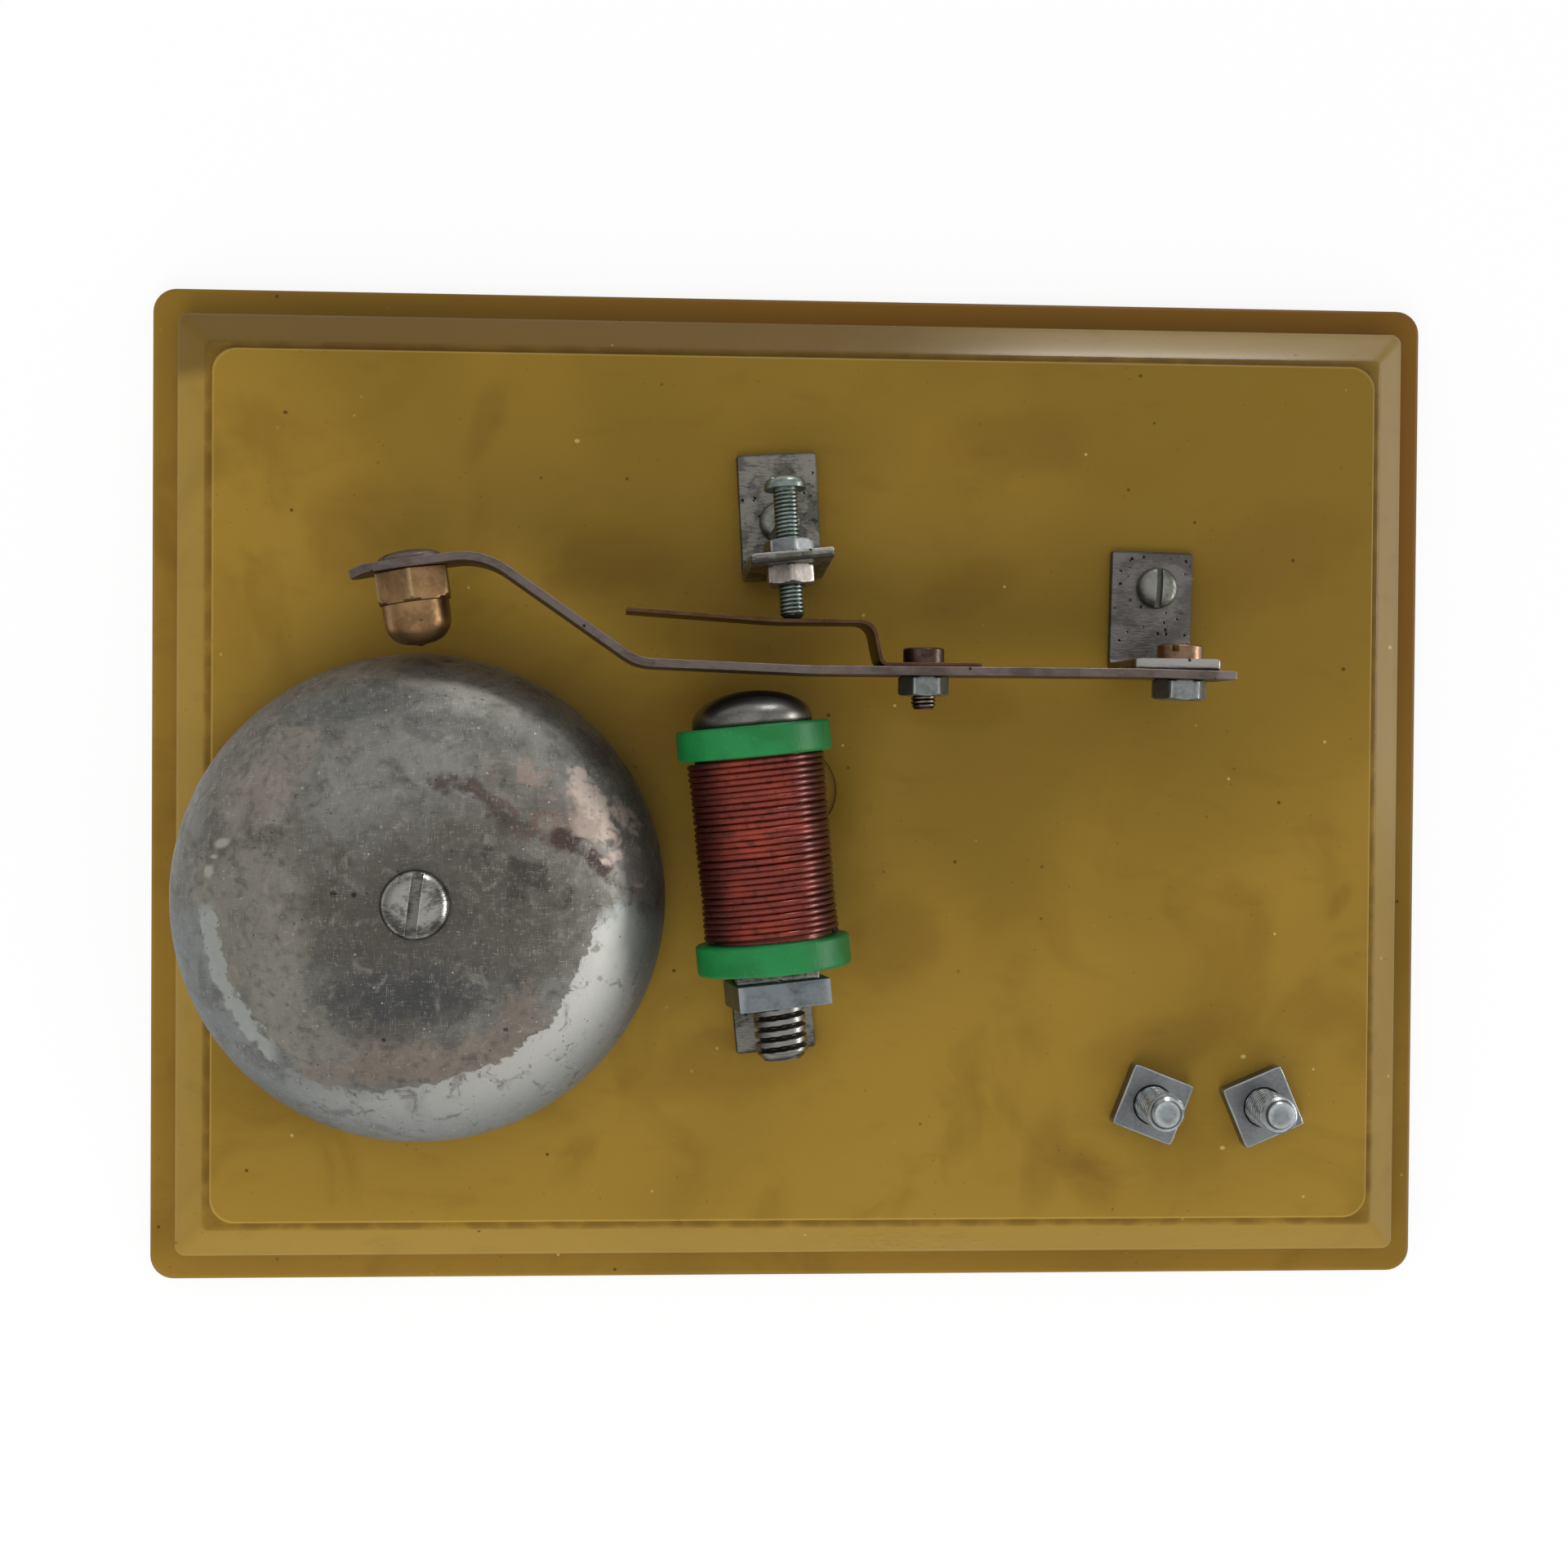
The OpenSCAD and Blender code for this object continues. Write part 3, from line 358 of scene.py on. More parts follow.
gutter_z = board_h - step_h
outer = rounded_line([
    (0, 0), (0, flange_h), (flange_w, flange_h), (flange_w + 0.4, 7.3), (8.15, gutter_z - 0.05),
    (border_w - 0.1, gutter_z - 0.12), (border_w + 0.1, board_h), (border_w + 2.5, board_h)],
    (0.7, 0.35, 1.6, 0.5, 0.15, 0.35), 6)
outer_r = np.interp(outer[:, 0], (0, 3.2, 3.9, 8.2, border_w, 12), (3.0, 1.8, 1.3, 1.0, 3.0, 3.0))
shell = board_rows(outer, outer_r)
mark_from = unit(shell[-1, :, :2] - (mark_x, mark_y))


def mark_row(radius, height):
    """Circle of the round mark, with its points on the rays to those of the board's outline."""
    level = np.full((len(mark_from), 1), height)
    return np.hstack([(mark_x, mark_y) + mark_from * radius, level])


to_mark = np.linspace(0, 1, 14)[1:-1, None, None]
field = shell[-1] * (1 - to_mark) + mark_row(mark_r + 0.4, board_h) * to_mark
mark = [mark_row(r, z) for r, z in (
    (mark_r + 0.1, board_h), (mark_r, board_h - 0.06), (mark_r - 0.05, board_h - mark_depth),
    (mark_r - 0.5, board_h - mark_depth), (2.0, board_h - mark_depth), (0.0, board_h - mark_depth))]
cavity = rounded_line([
    (shell_t - 0.1, 0), (shell_t - 0.1, 1.0), (flange_w + shell_t, 1.4), (flange_w + shell_t + 0.3, 6.0),
    (border_w + 0.4, ceiling_z), (40.0, ceiling_z)], (0.4, 0.3, 0.6, 0.8), 4)
hollow = board_rows(cavity, np.interp(cavity[:, 0], (2, 7, 40), (1.4, 1.0, 3.0)))[::-1]
ceiling = np.dstack([np.zeros_like(hollow[:1, :, :2]), hollow[:1, :, 2:]])
moulding = np.concatenate([ceiling, hollow, shell, field, np.array(mark)])


def rib(middle, half_length, along_x):
    """Bar hanging from the ceiling with a round lower edge: the outline of its section is
    carried along it, and its ends follow the slope of the shell's inside."""
    across = np.array([-1, -1, -0.8, -0.4, 0.4, 0.8, 1, 1]) * rib_t / 2 + middle
    height = rib_z + np.array([ceiling_z - rib_z + 0.2, 0.5, 0.15, 0, 0, 0.15, 0.5, ceiling_z - rib_z + 0.2])
    end = half_length - 0.85 * (height - rib_z)
    ends, over = np.array([-end, end]), np.array([across, across])
    level = np.array([height, height])
    return np.stack([ends, over, level] if along_x else [over, ends, level], -1), 0.0, False


ribs = [rib(x, board_w / 2 - 6.6, False) for x in ribs_x] + [rib(rib_y, board_l / 2 - 6.6, True)]
board = piece("moulded_board", (moulding, 0.0, False), *ribs, crease=50)

ochre = Finish("ochre_plastic", {
    "Metallic": 0.0, "IOR": 1.5, "Specular IOR Level": 0.1, "Coat Roughness": 0.2})
x, y, z = ochre.parts()
ragged = (ochre.cloud(6, 5) - 0.5) * 0.9
# Noise mottle, whose share also grows towards the front (-Y): painted light, lighter where the room lights
# the board most. Its slope along X, lighter to the left, only evens out the noise's lumps.
mottle_and_front_light = ochre.rise(ochre.cloud(46, 2, warp=0.4) - 0.003 * y - 0.0022 * x, 0.3, 0.75)
blotch = ochre.rise(ochre.cloud(15, 4, at=(0.31, 0.2, 0), warp=0.8), 0.5, 0.72)
smear = ochre.rise(ochre.cloud(5, 5, stretch=(0.6, 1.5, 1), at=(0.1, 0.5, 0)), 0.56, 0.74)


def spots(so_far, rim, *where):
    """A mask with ellipses added to it, each (x, y, half length, half height[, turn])."""
    for spot in where:
        so_far = ochre.blot(x, y, rim, *spot) + so_far
    return so_far


stains = spots(0.0, ragged, (-39.5, 46, 2.4, 6.5, -20), (-24, 29, 9, 5, 10), (22, 26, 9, 3.5, 25),
               (17, 13, 11, 5, -15), (12, -19, 8, 6, 30), (-8, -34, 15, 6, 10), (31.5, -47, 3, 8, -10),
               (38, -49, 4, 5, 30), (69.5, -14, 3, 1.4, 60), (27, 44, 12, 5, 5), (-56, 32, 7, 8, 30),
               (47, -32, 12, 4, 15), (60, 30, 14, 7, 20), (-15, 8, 8, 5, 0))
under_flange = ochre.rise(z, flange_h + 0.9, flange_h + 0.2)
far_side = ochre.rise(y * 0.9 + x * 0.45, 18.0, 62.0)
# The block's sloping walls are painted lighter: painted light on the slopes that face the room.
painted_light_on_slopes = ochre.band(z, 3.6, 5.5, 10.4, 11.0)
shaded = ochre.band(z, 3.4, 4.4, 10.8, 11.2) * ochre.rise(y, 50.0, 53.0) * ochre.rise(x, 45.0, 5.0)
# The gutter round the field is darker in broken patches.
in_gutter = ochre.band(z, 10.5, 10.85, 11.15, 11.6)
# A thin lighter line along the field's rounded top edge: a painted highlight.
field_edge_highlight = ochre.band(z, 11.55, 11.8, 11.94, 12.02)
gutter_patches = ochre.rise(ochre.cloud(3.5, 4, at=(0.7, 0.1, 0)), 0.3, 0.62)
crumb, hole, rough_rim = (0.4, 0.3), (0.35, 0.3), ragged * 0.4
crumbs = spots(ochre.specks(1.1, 0.0015), rough_rim, (57.3, -33.8, *crumb), (54.7, -45.5, *crumb),
               (-28.3, 43.6, *crumb), (77, 18.9, *crumb))
fine_holes = ochre.specks(1.3, 0.006, (0.3, 0.1, 0.2)) + ochre.specks(0.7, 0.02, (0.6, 0.1, 0.2)) * 0.5
holes = spots(fine_holes, rough_rim, (-64.5, 46.6, *hole), (69.8, 15.9, *hole), (3.6, 9.5, *hole))
colour = ochre.coated(
    paint(114, 89, 25), ((141, 111, 39), mottle_and_front_light), ((116, 88, 24), blotch * 0.6),
    ((148, 120, 50), painted_light_on_slopes * 0.5), ((92, 68, 22), shaded * 0.75),
    ((96, 66, 14), (stains * 0.32 + smear * 0.16).math("MINIMUM", 1.0)),
    ((112, 76, 22), under_flange * (0.25 + 0.6 * far_side)), ((78, 50, 14), in_gutter * gutter_patches * 0.4),
    ((176, 144, 66), field_edge_highlight * 0.45), ((206, 184, 122), crumbs.math("MINIMUM", 1.0) * 0.5),
    ((74, 46, 14), holes.math("MINIMUM", 1.0) * 0.85))
polish = 0.34 + 0.16 * ochre.cloud(9, 3) + 0.1 * (1.0 - under_flange) * ochre.cloud(1.6, 3)
creases = ochre.cloud(1.6, 2, stretch=(0.7, 1.6, 1), warp=1.5)
wrinkled = ochre.blot(x, y, ragged * 0.5, 15, -58.2, 12, 2.2) * creases
waves = ochre.cloud(7, 3, at=(0.4, 0, 0)) * 2.4 + ochre.cloud(0.9, 2) * 0.3 + wrinkled * 5.0
out_from_field = (x.math("ABSOLUTE") - 73.0).math("MAXIMUM", y.math("ABSOLUTE") - 54.0)
on_bevel = ochre.band(z, 6.5, 8.5, 10.6, 11.1) * ochre.rise(out_from_field, 0.0, 0.6)
lit_edge = on_bevel * (0.1 + 0.55 * ochre.rise(x + y * 0.9, 60.0, 85.0))
ochre.show(colour, polish, waves, 0.09, **{"Coat Weight": lit_edge})
dress(board, ochre, "ochre_plastic", "base", "base_board")

# ---- Terminals --------------------------------------------------------------------------
# Two zinc-plated steel studs for the battery's leads: bolts put up through the board from
# below, with a real thread, each held down on the field by a thin pressed square nut.


def lay(points, at, along="up", spin=0.0, turn=0.0):
    """Sets points modelled round +Z: spun about +Z, laid along up, down, +Y (back) or -Y
    (front), turned about the vertical by turn, and moved to at. Angles are in degrees."""
    c, s = heading(spin)
    x, y, z = np.moveaxis(points @ np.array([[c, s, 0], [-s, c, 0], [0, 0, 1]]), -1, 0)
    x, y, z = {"up": (x, y, z), "down": (x, -y, -z), "back": (x, z, -y), "front": (x, -z, y)}[along]
    c, s = heading(turn)
    return np.stack([x * c - y * s, x * s + y * c, z], -1) + at


def turned(profile, sides=64):
    """A profile [radius, height] turned round +Z; a radius may be an array over the angle."""
    angle = np.linspace(0, 2 * np.pi, sides, endpoint=False)
    radius = np.array([r + 0 * angle for r, _ in profile])
    height = np.array([h + 0 * angle for _, h in profile])
    return np.stack([radius * np.cos(angle), radius * np.sin(angle), height], -1)


def threaded(d, pitch, length, bare=0.0, chamfer=0.6, places=40, steps=10):
    """Screw thread from z = 0 up: a cylinder whose radius swings between crest and root with
    height / pitch - angle / a full turn. Below bare it is plain, and its end is a cone."""
    depth = 0.54 * pitch
    smooth = np.linspace(0, bare, 2)[:-1] if bare else np.zeros(0)
    height = np.concatenate([smooth, np.linspace(bare, length, int((length - bare) / pitch * steps))])
    angle = np.linspace(0, 2 * np.pi, places, endpoint=False)
    phase = (height[:, None] / pitch - angle / (2 * np.pi)) % 1
    flank = np.clip(1.25 - 2.5 * np.abs(2 * phase - 1), -0.25, 1.0).clip(0, 1)
    flank = flank * np.clip((height[:, None] - bare) / pitch, 0, 1)
    radius = d / 2 - depth * flank
    radius = np.minimum(radius, d / 2 - chamfer + (length - height[:, None]) * 0.9)
    rows = np.stack([radius * np.cos(angle), radius * np.sin(angle), height[:, None] + 0 * angle], -1)
    end = turned([(d / 2 - chamfer - 0.15, length), (0.0, length - 0.08)], places)
    start = turned([(0.0, 0.0)], places)
    wear = np.concatenate([
        np.zeros((1, places)), 0.9 - 2 * flank, np.full((1, places), 0.9), np.zeros((1, places))])
    return np.concatenate([start, rows, end]), wear, False


def bell(x, width):
    """Bump of height 1 where x is 0, dying away over a width as e to the power -(x / width)^2."""
    return np.exp(-((x / width) ** 2))


def nut(w, t, bore, sides, chamfer=0.5, both=True, round_corner=0.06):
    """Nut on z = 0: at each angle its section goes up the bore, out over the top, down the
    flat and back. The outer radius is that of a polygon, w / 2 / cos(angle from the middle of
    the flat), and no more than the chamfer's cone allows."""
    per_side = 14
    u = np.linspace(-1, 1, per_side, endpoint=False)
    half = np.pi / sides
    within = half * np.sign(u) * (1 - (1 - np.abs(u)) ** 1.7)
    angle = (np.arange(sides)[:, None] * 2 * half + within).ravel()
    within = np.tile(within, sides)
    flat = w / 2 / np.cos(within) - round_corner * w / 6 * bell(half - np.abs(within), 0.05)
    cone = w / 2 * (0.985 if sides == 6 else 1.5)
    edge, rows, wear = 0.12, [], []
    levels = [0, edge * 0.35, edge, chamfer * 0.6, chamfer, t / 2, t - chamfer, t - chamfer * 0.6,
              t - edge, t - edge * 0.35, t]
    for level in levels:
        depth = min(level, t - level) if both else t - level
        inside = edge - np.sqrt(max(edge**2 - max(edge - min(level, t - level), 0) ** 2, 0))
        radius = np.minimum(flat, cone + depth * 1.75) - inside
        rows.append(np.stack([radius, 0 * radius + level], -1))
        corner = bell(half - np.abs(within), 0.12)
        wear.append(np.maximum(corner, bell(min(level, t - level), 0.2)))
    inset = [(rows[k][:, 0] - 0.3, t if k else 0, 0.0) for k in (-1, 0)]
    hole = [(0 * flat + bore / 2 + r, level, worn) for r, level, worn in (
        (0.45, t, 0.0), (0.25, t, 0.4), (0, t - 0.25, -0.6), (0, 0.25, -0.6), (0.25, 0, 0.4), (0.45, 0, 0.0))]
    for radius, level, worn in [inset[0], *hole, inset[1]]:
        rows.append(np.stack([radius, 0 * flat + level], -1))
        wear.append(0 * flat + worn)
    radius, level = np.moveaxis(np.array(rows), -1, 0)
    return np.stack([radius * np.cos(angle), radius * np.sin(angle), level], -1), np.array(wear), True


def slotted(d, h, wall, slot_w, slot_depth, flatness=2.0):
    """Screw head on z = 0 cut by chords: at each distance s from its middle the section is
    flat below and domed above, sunk to the slot's floor where |s| is less than half a slot.
    The dome's height at radius r is wall + (h - wall) (1 - (2r / d)^(2 flatness))^(1 / 2)."""
    out = np.sin(np.radians(np.linspace(0, 90, 15)))
    half_slot = slot_w / 2
    beyond = half_slot + (d / 2 - half_slot) * out
    s = np.concatenate([-beyond[::-1], np.linspace(-half_slot, half_slot, 5), beyond])
    sunk = np.zeros(len(s), bool)
    sunk[len(beyond):len(beyond) + 5] = True
    turn = np.linspace(0, np.pi, 33)
    reach = np.sqrt(np.maximum((d / 2) ** 2 - s**2, 0))[:, None]
    x = reach * np.cos(turn)
    radius = np.sqrt(x**2 + s[:, None] ** 2)
    dome = wall + (h - wall) * np.sqrt(np.maximum(1 - (2 * radius / d) ** (2 * flatness), 0))
    level = np.where(sunk[:, None], np.minimum(dome, h - slot_depth), dome)
    rub = np.where(sunk, -0.5, 0.1 + 0.65 * bell(np.abs(s) - half_slot, 0.25))[:, None] + 0 * x
    over = np.stack([x, s[:, None] + 0 * x, level], -1)
    back = np.stack([x, s[:, None] + 0 * x, 0 * x], -1)[:, ::-1]
    return np.concatenate([over, back], 1), np.concatenate([rub, rub * 0], 1), False


def put(grid, *where, **how):
    """A grid of a piece with its points laid in place."""
    points, wear, ring = grid
    return lay(points, *where, **how), wear, ring


def metal(name, clean, dull, soil, patch=4.0, dulled=(0.4, 0.65), soiled=(0.58, 0.76), rough=(0.22, 0.45),
          grain=(1, 1, 1), depth=0.02, rubbed=(205, 205, 200), rub=0.6, pits=0.0):
    """Handled metal: clean and dull tones in clouds, soil in a finer cloud, bright rubbed
    edges where wear is high, and a grain with pits in its bumps."""
    made = Finish(name, {"Metallic": 1.0})
    broad = made.cloud(patch, 4, warp=0.5)
    fine = made.cloud(patch / 5, 4, at=(0.2, 0.6, 0.4))
    streak = made.cloud(0.5, 3, stretch=grain, at=(0.5, 0.1, 0.3))
    dirty = made.rise(broad * 0.45 + fine * 0.55, *soiled).math("MAXIMUM", made.rise(made.wear, -0.1, -0.8))
    colour = made.coated(paint(*clean), (dull, made.rise(broad * 0.7 + streak * 0.3, *dulled)),
                         (soil, dirty * 0.8), (rubbed, made.rise(made.wear + fine * 0.5, 0.75, 1.25) * rub))
    low, high = rough
    polish = low + (high - low) * (streak * 0.5 + broad * 0.5) + dirty * 0.2
    height = streak + fine * 0.7
    if pits:
        hole = made.specks(1.1, pits)
        colour = made.coated(colour, ((24, 20, 18), hole * 0.9))
        height = height - hole * 2.0
    made.show(colour, polish, height, depth)
    return made


stud_d, stud_h, stud_pitch = 4.7, 10.0, 0.8
square_w, square_t = 8.1, 2.4
lead_d, link_d, seat_gap = 0.75, 1.2, 0.04
studs = {"left": ((45.1, -39.6), -21.5, lead_d), "right": ((59.3, -39.95), 23.0, link_d)}
zinc = metal("zinc_plate", (140, 146, 148), (112, 117, 118), (52, 50, 46), patch=2.5,
             rough=(0.24, 0.42), depth=0.015, rubbed=(196, 202, 202))
pressed_zinc = metal("pressed_zinc", (124, 127, 128), (106, 108, 109), (86, 82, 74),
                     patch=5, rough=(0.32, 0.5), rubbed=(180, 185, 184))
for side, ((x, y), nut_turn, seat) in studs.items():
    seat_z = ceiling_z - seat - seat_gap
    rod = put(threaded(stud_d, stud_pitch, board_h + stud_h - seat_z, bare=2.0, chamfer=0.75), (x, y, seat_z))
    head = put(slotted(stud_d * 1.8, 2.6, 0.9, 1.0, 1.0), (x, y, seat_z), "down", spin=30)
    bolt = piece(f"stud_{side}", rod, head, crease=40)
    dress(bolt, zinc, "zinc_steel", "base", f"terminal_bolt_{side}")
    square = nut(square_w, square_t, stud_d, 4, chamfer=0.35, both=False, round_corner=0.1)
    plate = piece(f"square_nut_{side}", put(square, (x, y, board_h), turn=nut_turn), crease=28)
    dress(plate, pressed_zinc, "zinc_steel", "base", f"terminal_nut_{side}")

# ---- Gong -------------------------------------------------------------------------------
# A dome of nickel-plated sheet steel, dulled and blotched with age, on a round pillar. One
# slotted round-head screw goes down through the crown, the pillar and the board to a nut.

gong_x, gong_y, gong_r, gong_h, gong_t = -47.7, -13.5, 30.25, 21.0, 1.1
rim_shift, askew = 0.25, np.array([1.0, 0.45])
rim_z, gong_form = board_h + 3.0, 2.4
crown_z = rim_z + gong_h
pillar_d, pillar_bore, pillar_edge = 9.0, 4.12, 0.3
gong_screw_d, gong_screw_pitch, gong_head_d, gong_head_h, tail_z = 4.0, 0.7, 8.2, 2.6, 5.2
gong_nut_flats, gong_nut_t = 7.0, 3.2


def dome_points(radius, height, rows):
    """Radii and heights of a quarter superellipse: at each angle, radius cos^(2 / form) and
    height sin^(2 / form), from the crown outwards."""
    angle = np.radians(np.linspace(90, 0, rows))
    return radius * np.cos(angle) ** (2 / gong_form), height * np.sin(angle) ** (2 / gong_form)


def dome(radius, height, rows):
    """Half section of a dome, [radius, height], from the hole in its crown outwards."""
    line = np.stack(dome_points(radius, height, rows), -1)
    line = line[line[:, 0] > hole_r + 0.1]
    return np.vstack([(hole_r, np.interp(hole_r, *dome_points(radius, height, 400))), line])


hole_r = gong_screw_d / 2 + 0.05
outside = dome(gong_r, gong_h, 90)
inside = dome(gong_r - gong_t, gong_h - gong_t, 70)
lip = np.array([(gong_r - 0.12, 0.0), (gong_r - 0.4, 0.0), (gong_r - gong_t + 0.15, 0.0)])
section = np.vstack([outside[:-1], (gong_r, 0.15), lip, inside[::-1][1:]])
sheet = turned([(r, h) for r, h in section], 200) * (1.003, 0.994, 1)
sheet[..., :2] += sheet[..., 2:] / gong_h * askew + (rim_shift, 0)
gong = piece("gong_dome", (sheet + (gong_x, gong_y, rim_z), 0.0, True), crease=55)

plated = Finish("gong_plate", {"Metallic": 1.0})
x, y, z = plated.parts()
up_share = (z - rim_z) / gong_h
east, north = x - (gong_x + rim_shift) - up_share * askew[0], y - gong_y - up_share * askew[1]
out = (east * east + north * north) ** 0.5
fine = plated.cloud(1.3, 5, at=(0.2, 0.1, 0))
lumps = plated.cloud(4.5, 5, at=(0.6, 0.3, 0), warp=0.6)
veil = plated.cloud(17, 4, at=(0.9, 0.4, 0), warp=0.5)
tatter = plated.cloud(2.4, 6, at=(0.3, 0.9, 0), rough=0.65, warp=1.2)
ragged = (lumps - 0.5) * 1.1 + (fine - 0.5) * 0.4


def patched(colour, *rows):
    """The gong's colour with patches laid on it in turn. A row has the paint, its share, how
    much more ragged than plain its rim is, its place east and north, half lengths and turn."""
    for tone, share, torn, *where in rows:
        colour = plated.coated(colour, (tone, plated.blot(east, north, ragged * torn, *where) * share))
    return colour


colour = plated.coated(paint(136, 135, 129), ((116, 113, 106), plated.rise(veil, 0.4, 0.62)),
                       ((96, 92, 87), plated.rise(lumps, 0.48, 0.7) * 0.6))
colour = patched(
    colour, ((91, 87, 81), 0.85, 1.3, 3, -1, 19, 14, 5), ((146, 142, 131), 0.85, 1.0, -19, -2, 7, 13, 4),
    ((152, 150, 140), 0.8, 1.0, -13.5, -14.5, 5, 9, 30), ((150, 142, 134), 0.8, 1.0, -18.5, 12.5, 6, 4.5, 35),
    ((142, 136, 127), 0.7, 3.2, -14.5, 18, 5, 3, 20), ((98, 99, 97), 0.8, 2.0, -7, 23.5, 10, 2.6, 8),
    ((104, 104, 101), 0.7, 2.0, 6, 20, 9, 2.2, -12), ((150, 148, 141), 0.7, 1.0, 6, 25.5, 12, 2, -12),
    ((96, 93, 89), 0.8, 1.0, -1, -10.5, 13.5, 5.6, 3), ((80, 81, 82), 0.8, 1.6, -0.5, -10.5, 11, 3.4, 2),
    ((142, 132, 119), 0.85, 2.4, 1, -18.0, 15, 3.0, 8), ((132, 121, 110), 0.7, 2.4, 12, -14, 5, 3, 40),
    ((74, 64, 60), 0.7, 3.4, 13, 9, 9.5, 1.6, -27), ((120, 103, 92), 0.8, 3.2, 16, 10, 6.5, 4, -42),
    ((66, 52, 50), 0.8, 3.6, 18.5, 6.4, 6.5, 1.5, -38), ((58, 52, 50), 0.6, 3.6, 13, 3, 5, 2.6, -20),
    ((196, 180, 168), 0.85, 4.2, 21.6, 11, 6.4, 2.4, -58),
    ((150, 136, 126), 0.7, 4.2, 15.5, 12.6, 6, 1.5, -40), ((158, 168, 165), 0.8, 1.5, 24, -3, 3.4, 3.2, -70))
colour = plated.coated(colour, ((72, 68, 63), plated.rise(tatter, 0.52, 0.74) * 0.55),
                       ((172, 166, 156), plated.rise(tatter, 0.48, 0.26) * 0.4),
                       ((84, 80, 75), plated.rise(fine, 0.5, 0.72) * 0.35))
# Round the lower flank, between a ragged ledge and the rim, the tones are a painted reflection of the room in
# the polished steel. The mask of this band is the one called bare; the band is whiter towards the lower right
# and bluer near the rim.
south = plated.rise(north + ragged * 3, 0.5, -3.5)
ledge = 23.4 - 2.6 * plated.rise(east - north, 14.0, 26.0) + 1.2 * plated.rise(east, -6.0, -20.0)
torn_out = out + (tatter - 0.5) * 3.4 + (lumps - 0.5) * 3.0
bare = plated.rise(torn_out, ledge - 0.15, ledge + 0.15) * south
rim_reflection_tint = plated.rise(out, ledge + 1.0, 29.4)
whiter = plated.rise(east * 0.75 - north * 0.66, -2.0, 23.0)
flank = plated.coated(paint(140, 144, 142), ((200, 199, 194), whiter), ((118, 124, 124), rim_reflection_tint * 0.85),
                      ((112, 112, 108), plated.rise(lumps, 0.48, 0.66) * plated.rise(east, 8.0, -12.0) * 0.7),
                      ((104, 98, 88), plated.rise(tatter, 0.55, 0.66) * 0.6))
colour = plated.tone(colour, flank, bare * 0.95)
# A thin bright strip on the lower left flank: more of the painted reflection.
left_reflection_strip = plated.rise(out + (tatter - 0.5) * 4.0, 23.2, 23.6)
left_reflection_strip = left_reflection_strip * plated.rise(out + (fine - 0.5) * 3, 25.6, 25.0)
left_reflection_strip = left_reflection_strip * plated.rise(east, -15.0, -17.5) * plated.rise(north, 0.5, -1.5)
colour = plated.coated(colour, ((172, 176, 171), left_reflection_strip * 0.9))
chip, pit = ((178, 174, 164), 0.9, 0.4), ((38, 34, 32), 0.8, 0.3)
colour = patched(
    colour, (*chip, -22.6, 6.9, 1.3, 0.7, 20), (*chip, -24.2, 3.6, 1.0, 0.7, 70),
    (*chip, -23.6, 5.3, 0.5, 0.3, 0), (*pit, -9.4, 1.2, 0.5, 0.4, 0), (*pit, -7.0, 1.1, 0.4, 0.4, 0),
    (*pit, 10.5, -14.7, 0.35, 0.3, 0), (*pit, -3.6, -15.8, 0.3, 0.3, 0))
scratches = plated.cloud(1.2, 2, stretch=(12, 1, 1))
scratches = plated.cloud(1.2, 2, stretch=(1, 14, 1), at=(0.3, 0.8, 0)) + scratches
colour = plated.coated(colour, ((206, 200, 190), plated.specks(0.7, 0.04, (0.1, 0.4, 0)) * 0.6),
                       ((44, 40, 38), plated.specks(0.65, 0.07, (0.5, 0.2, 0)) * 0.7),
                       ((70, 72, 70), plated.rise(z, rim_z + 1.3, rim_z + 0.3) * 0.6),
                       ((186, 182, 174), plated.rise(scratches, 1.14, 1.3) * 0.5))
polish = 0.45 + 0.14 * veil + 0.14 * fine + bare * 0.04
plated.show(colour, polish, lumps * 1.0 + fine * 0.5 + tatter * 0.5 + scratches * 0.3, 0.08)
dress(gong, plated, "gong_steel", "base", "gong")

bright_steel = metal("bright_steel", (148, 146, 140), (96, 94, 90), (52, 48, 44),
                     patch=2.5, dulled=(0.45, 0.58), rough=(0.16, 0.28), grain=(1, 3, 1), depth=0.03,
                     rubbed=(216, 214, 206), rub=0.8)
gong_place = (gong_x, gong_y)
top_place = (gong_x + rim_shift + askew[0], gong_y + askew[1], crown_z - 0.02)
top_head = put(slotted(gong_head_d, gong_head_h, 0.5, 1.3, 1.3, 1.15), top_place, spin=83)
long_shank = threaded(gong_screw_d, gong_screw_pitch, crown_z - tail_z, bare=20)
long_shank = put(long_shank, (*gong_place, crown_z - 0.1), "down")
crown_screw = piece("gong_crown_screw", top_head, long_shank, crease=38)
dress(crown_screw, bright_steel, "bright_steel", "base", "gong_screw")

dull_steel = metal("dull_steel", (128, 128, 122), (98, 98, 92), (58, 54, 48), patch=3,
                   rough=(0.3, 0.5), rubbed=(180, 180, 172))
pillar_top = crown_z - gong_t - 0.1
bore_r, side_r = pillar_bore / 2, pillar_d / 2
spacer = turned([
    (bore_r, board_h), (side_r - pillar_edge, board_h), (side_r, board_h + pillar_edge),
    (side_r, pillar_top - pillar_edge), (side_r - pillar_edge, pillar_top), (bore_r, pillar_top)], 48)
post = piece("gong_post", (spacer + (gong_x, gong_y, 0), 0.2, True))
dress(post, dull_steel, "zinc_steel", "base", "gong_pillar")
hexagon = nut(gong_nut_flats, gong_nut_t, gong_screw_d, 6)
under = piece("gong_hex_nut", put(hexagon, (*gong_place, ceiling_z - gong_nut_t)))
dress(under, pressed_zinc, "zinc_steel", "base", "gong_nut")

# ---- Electromagnet ----------------------------------------------------------------------
# A green plastic bobbin wound with red-brown enamelled copper wire. Its core is a quarter-inch
# mushroom-head bolt, whose square nut holds the bobbin against an angle bracket.

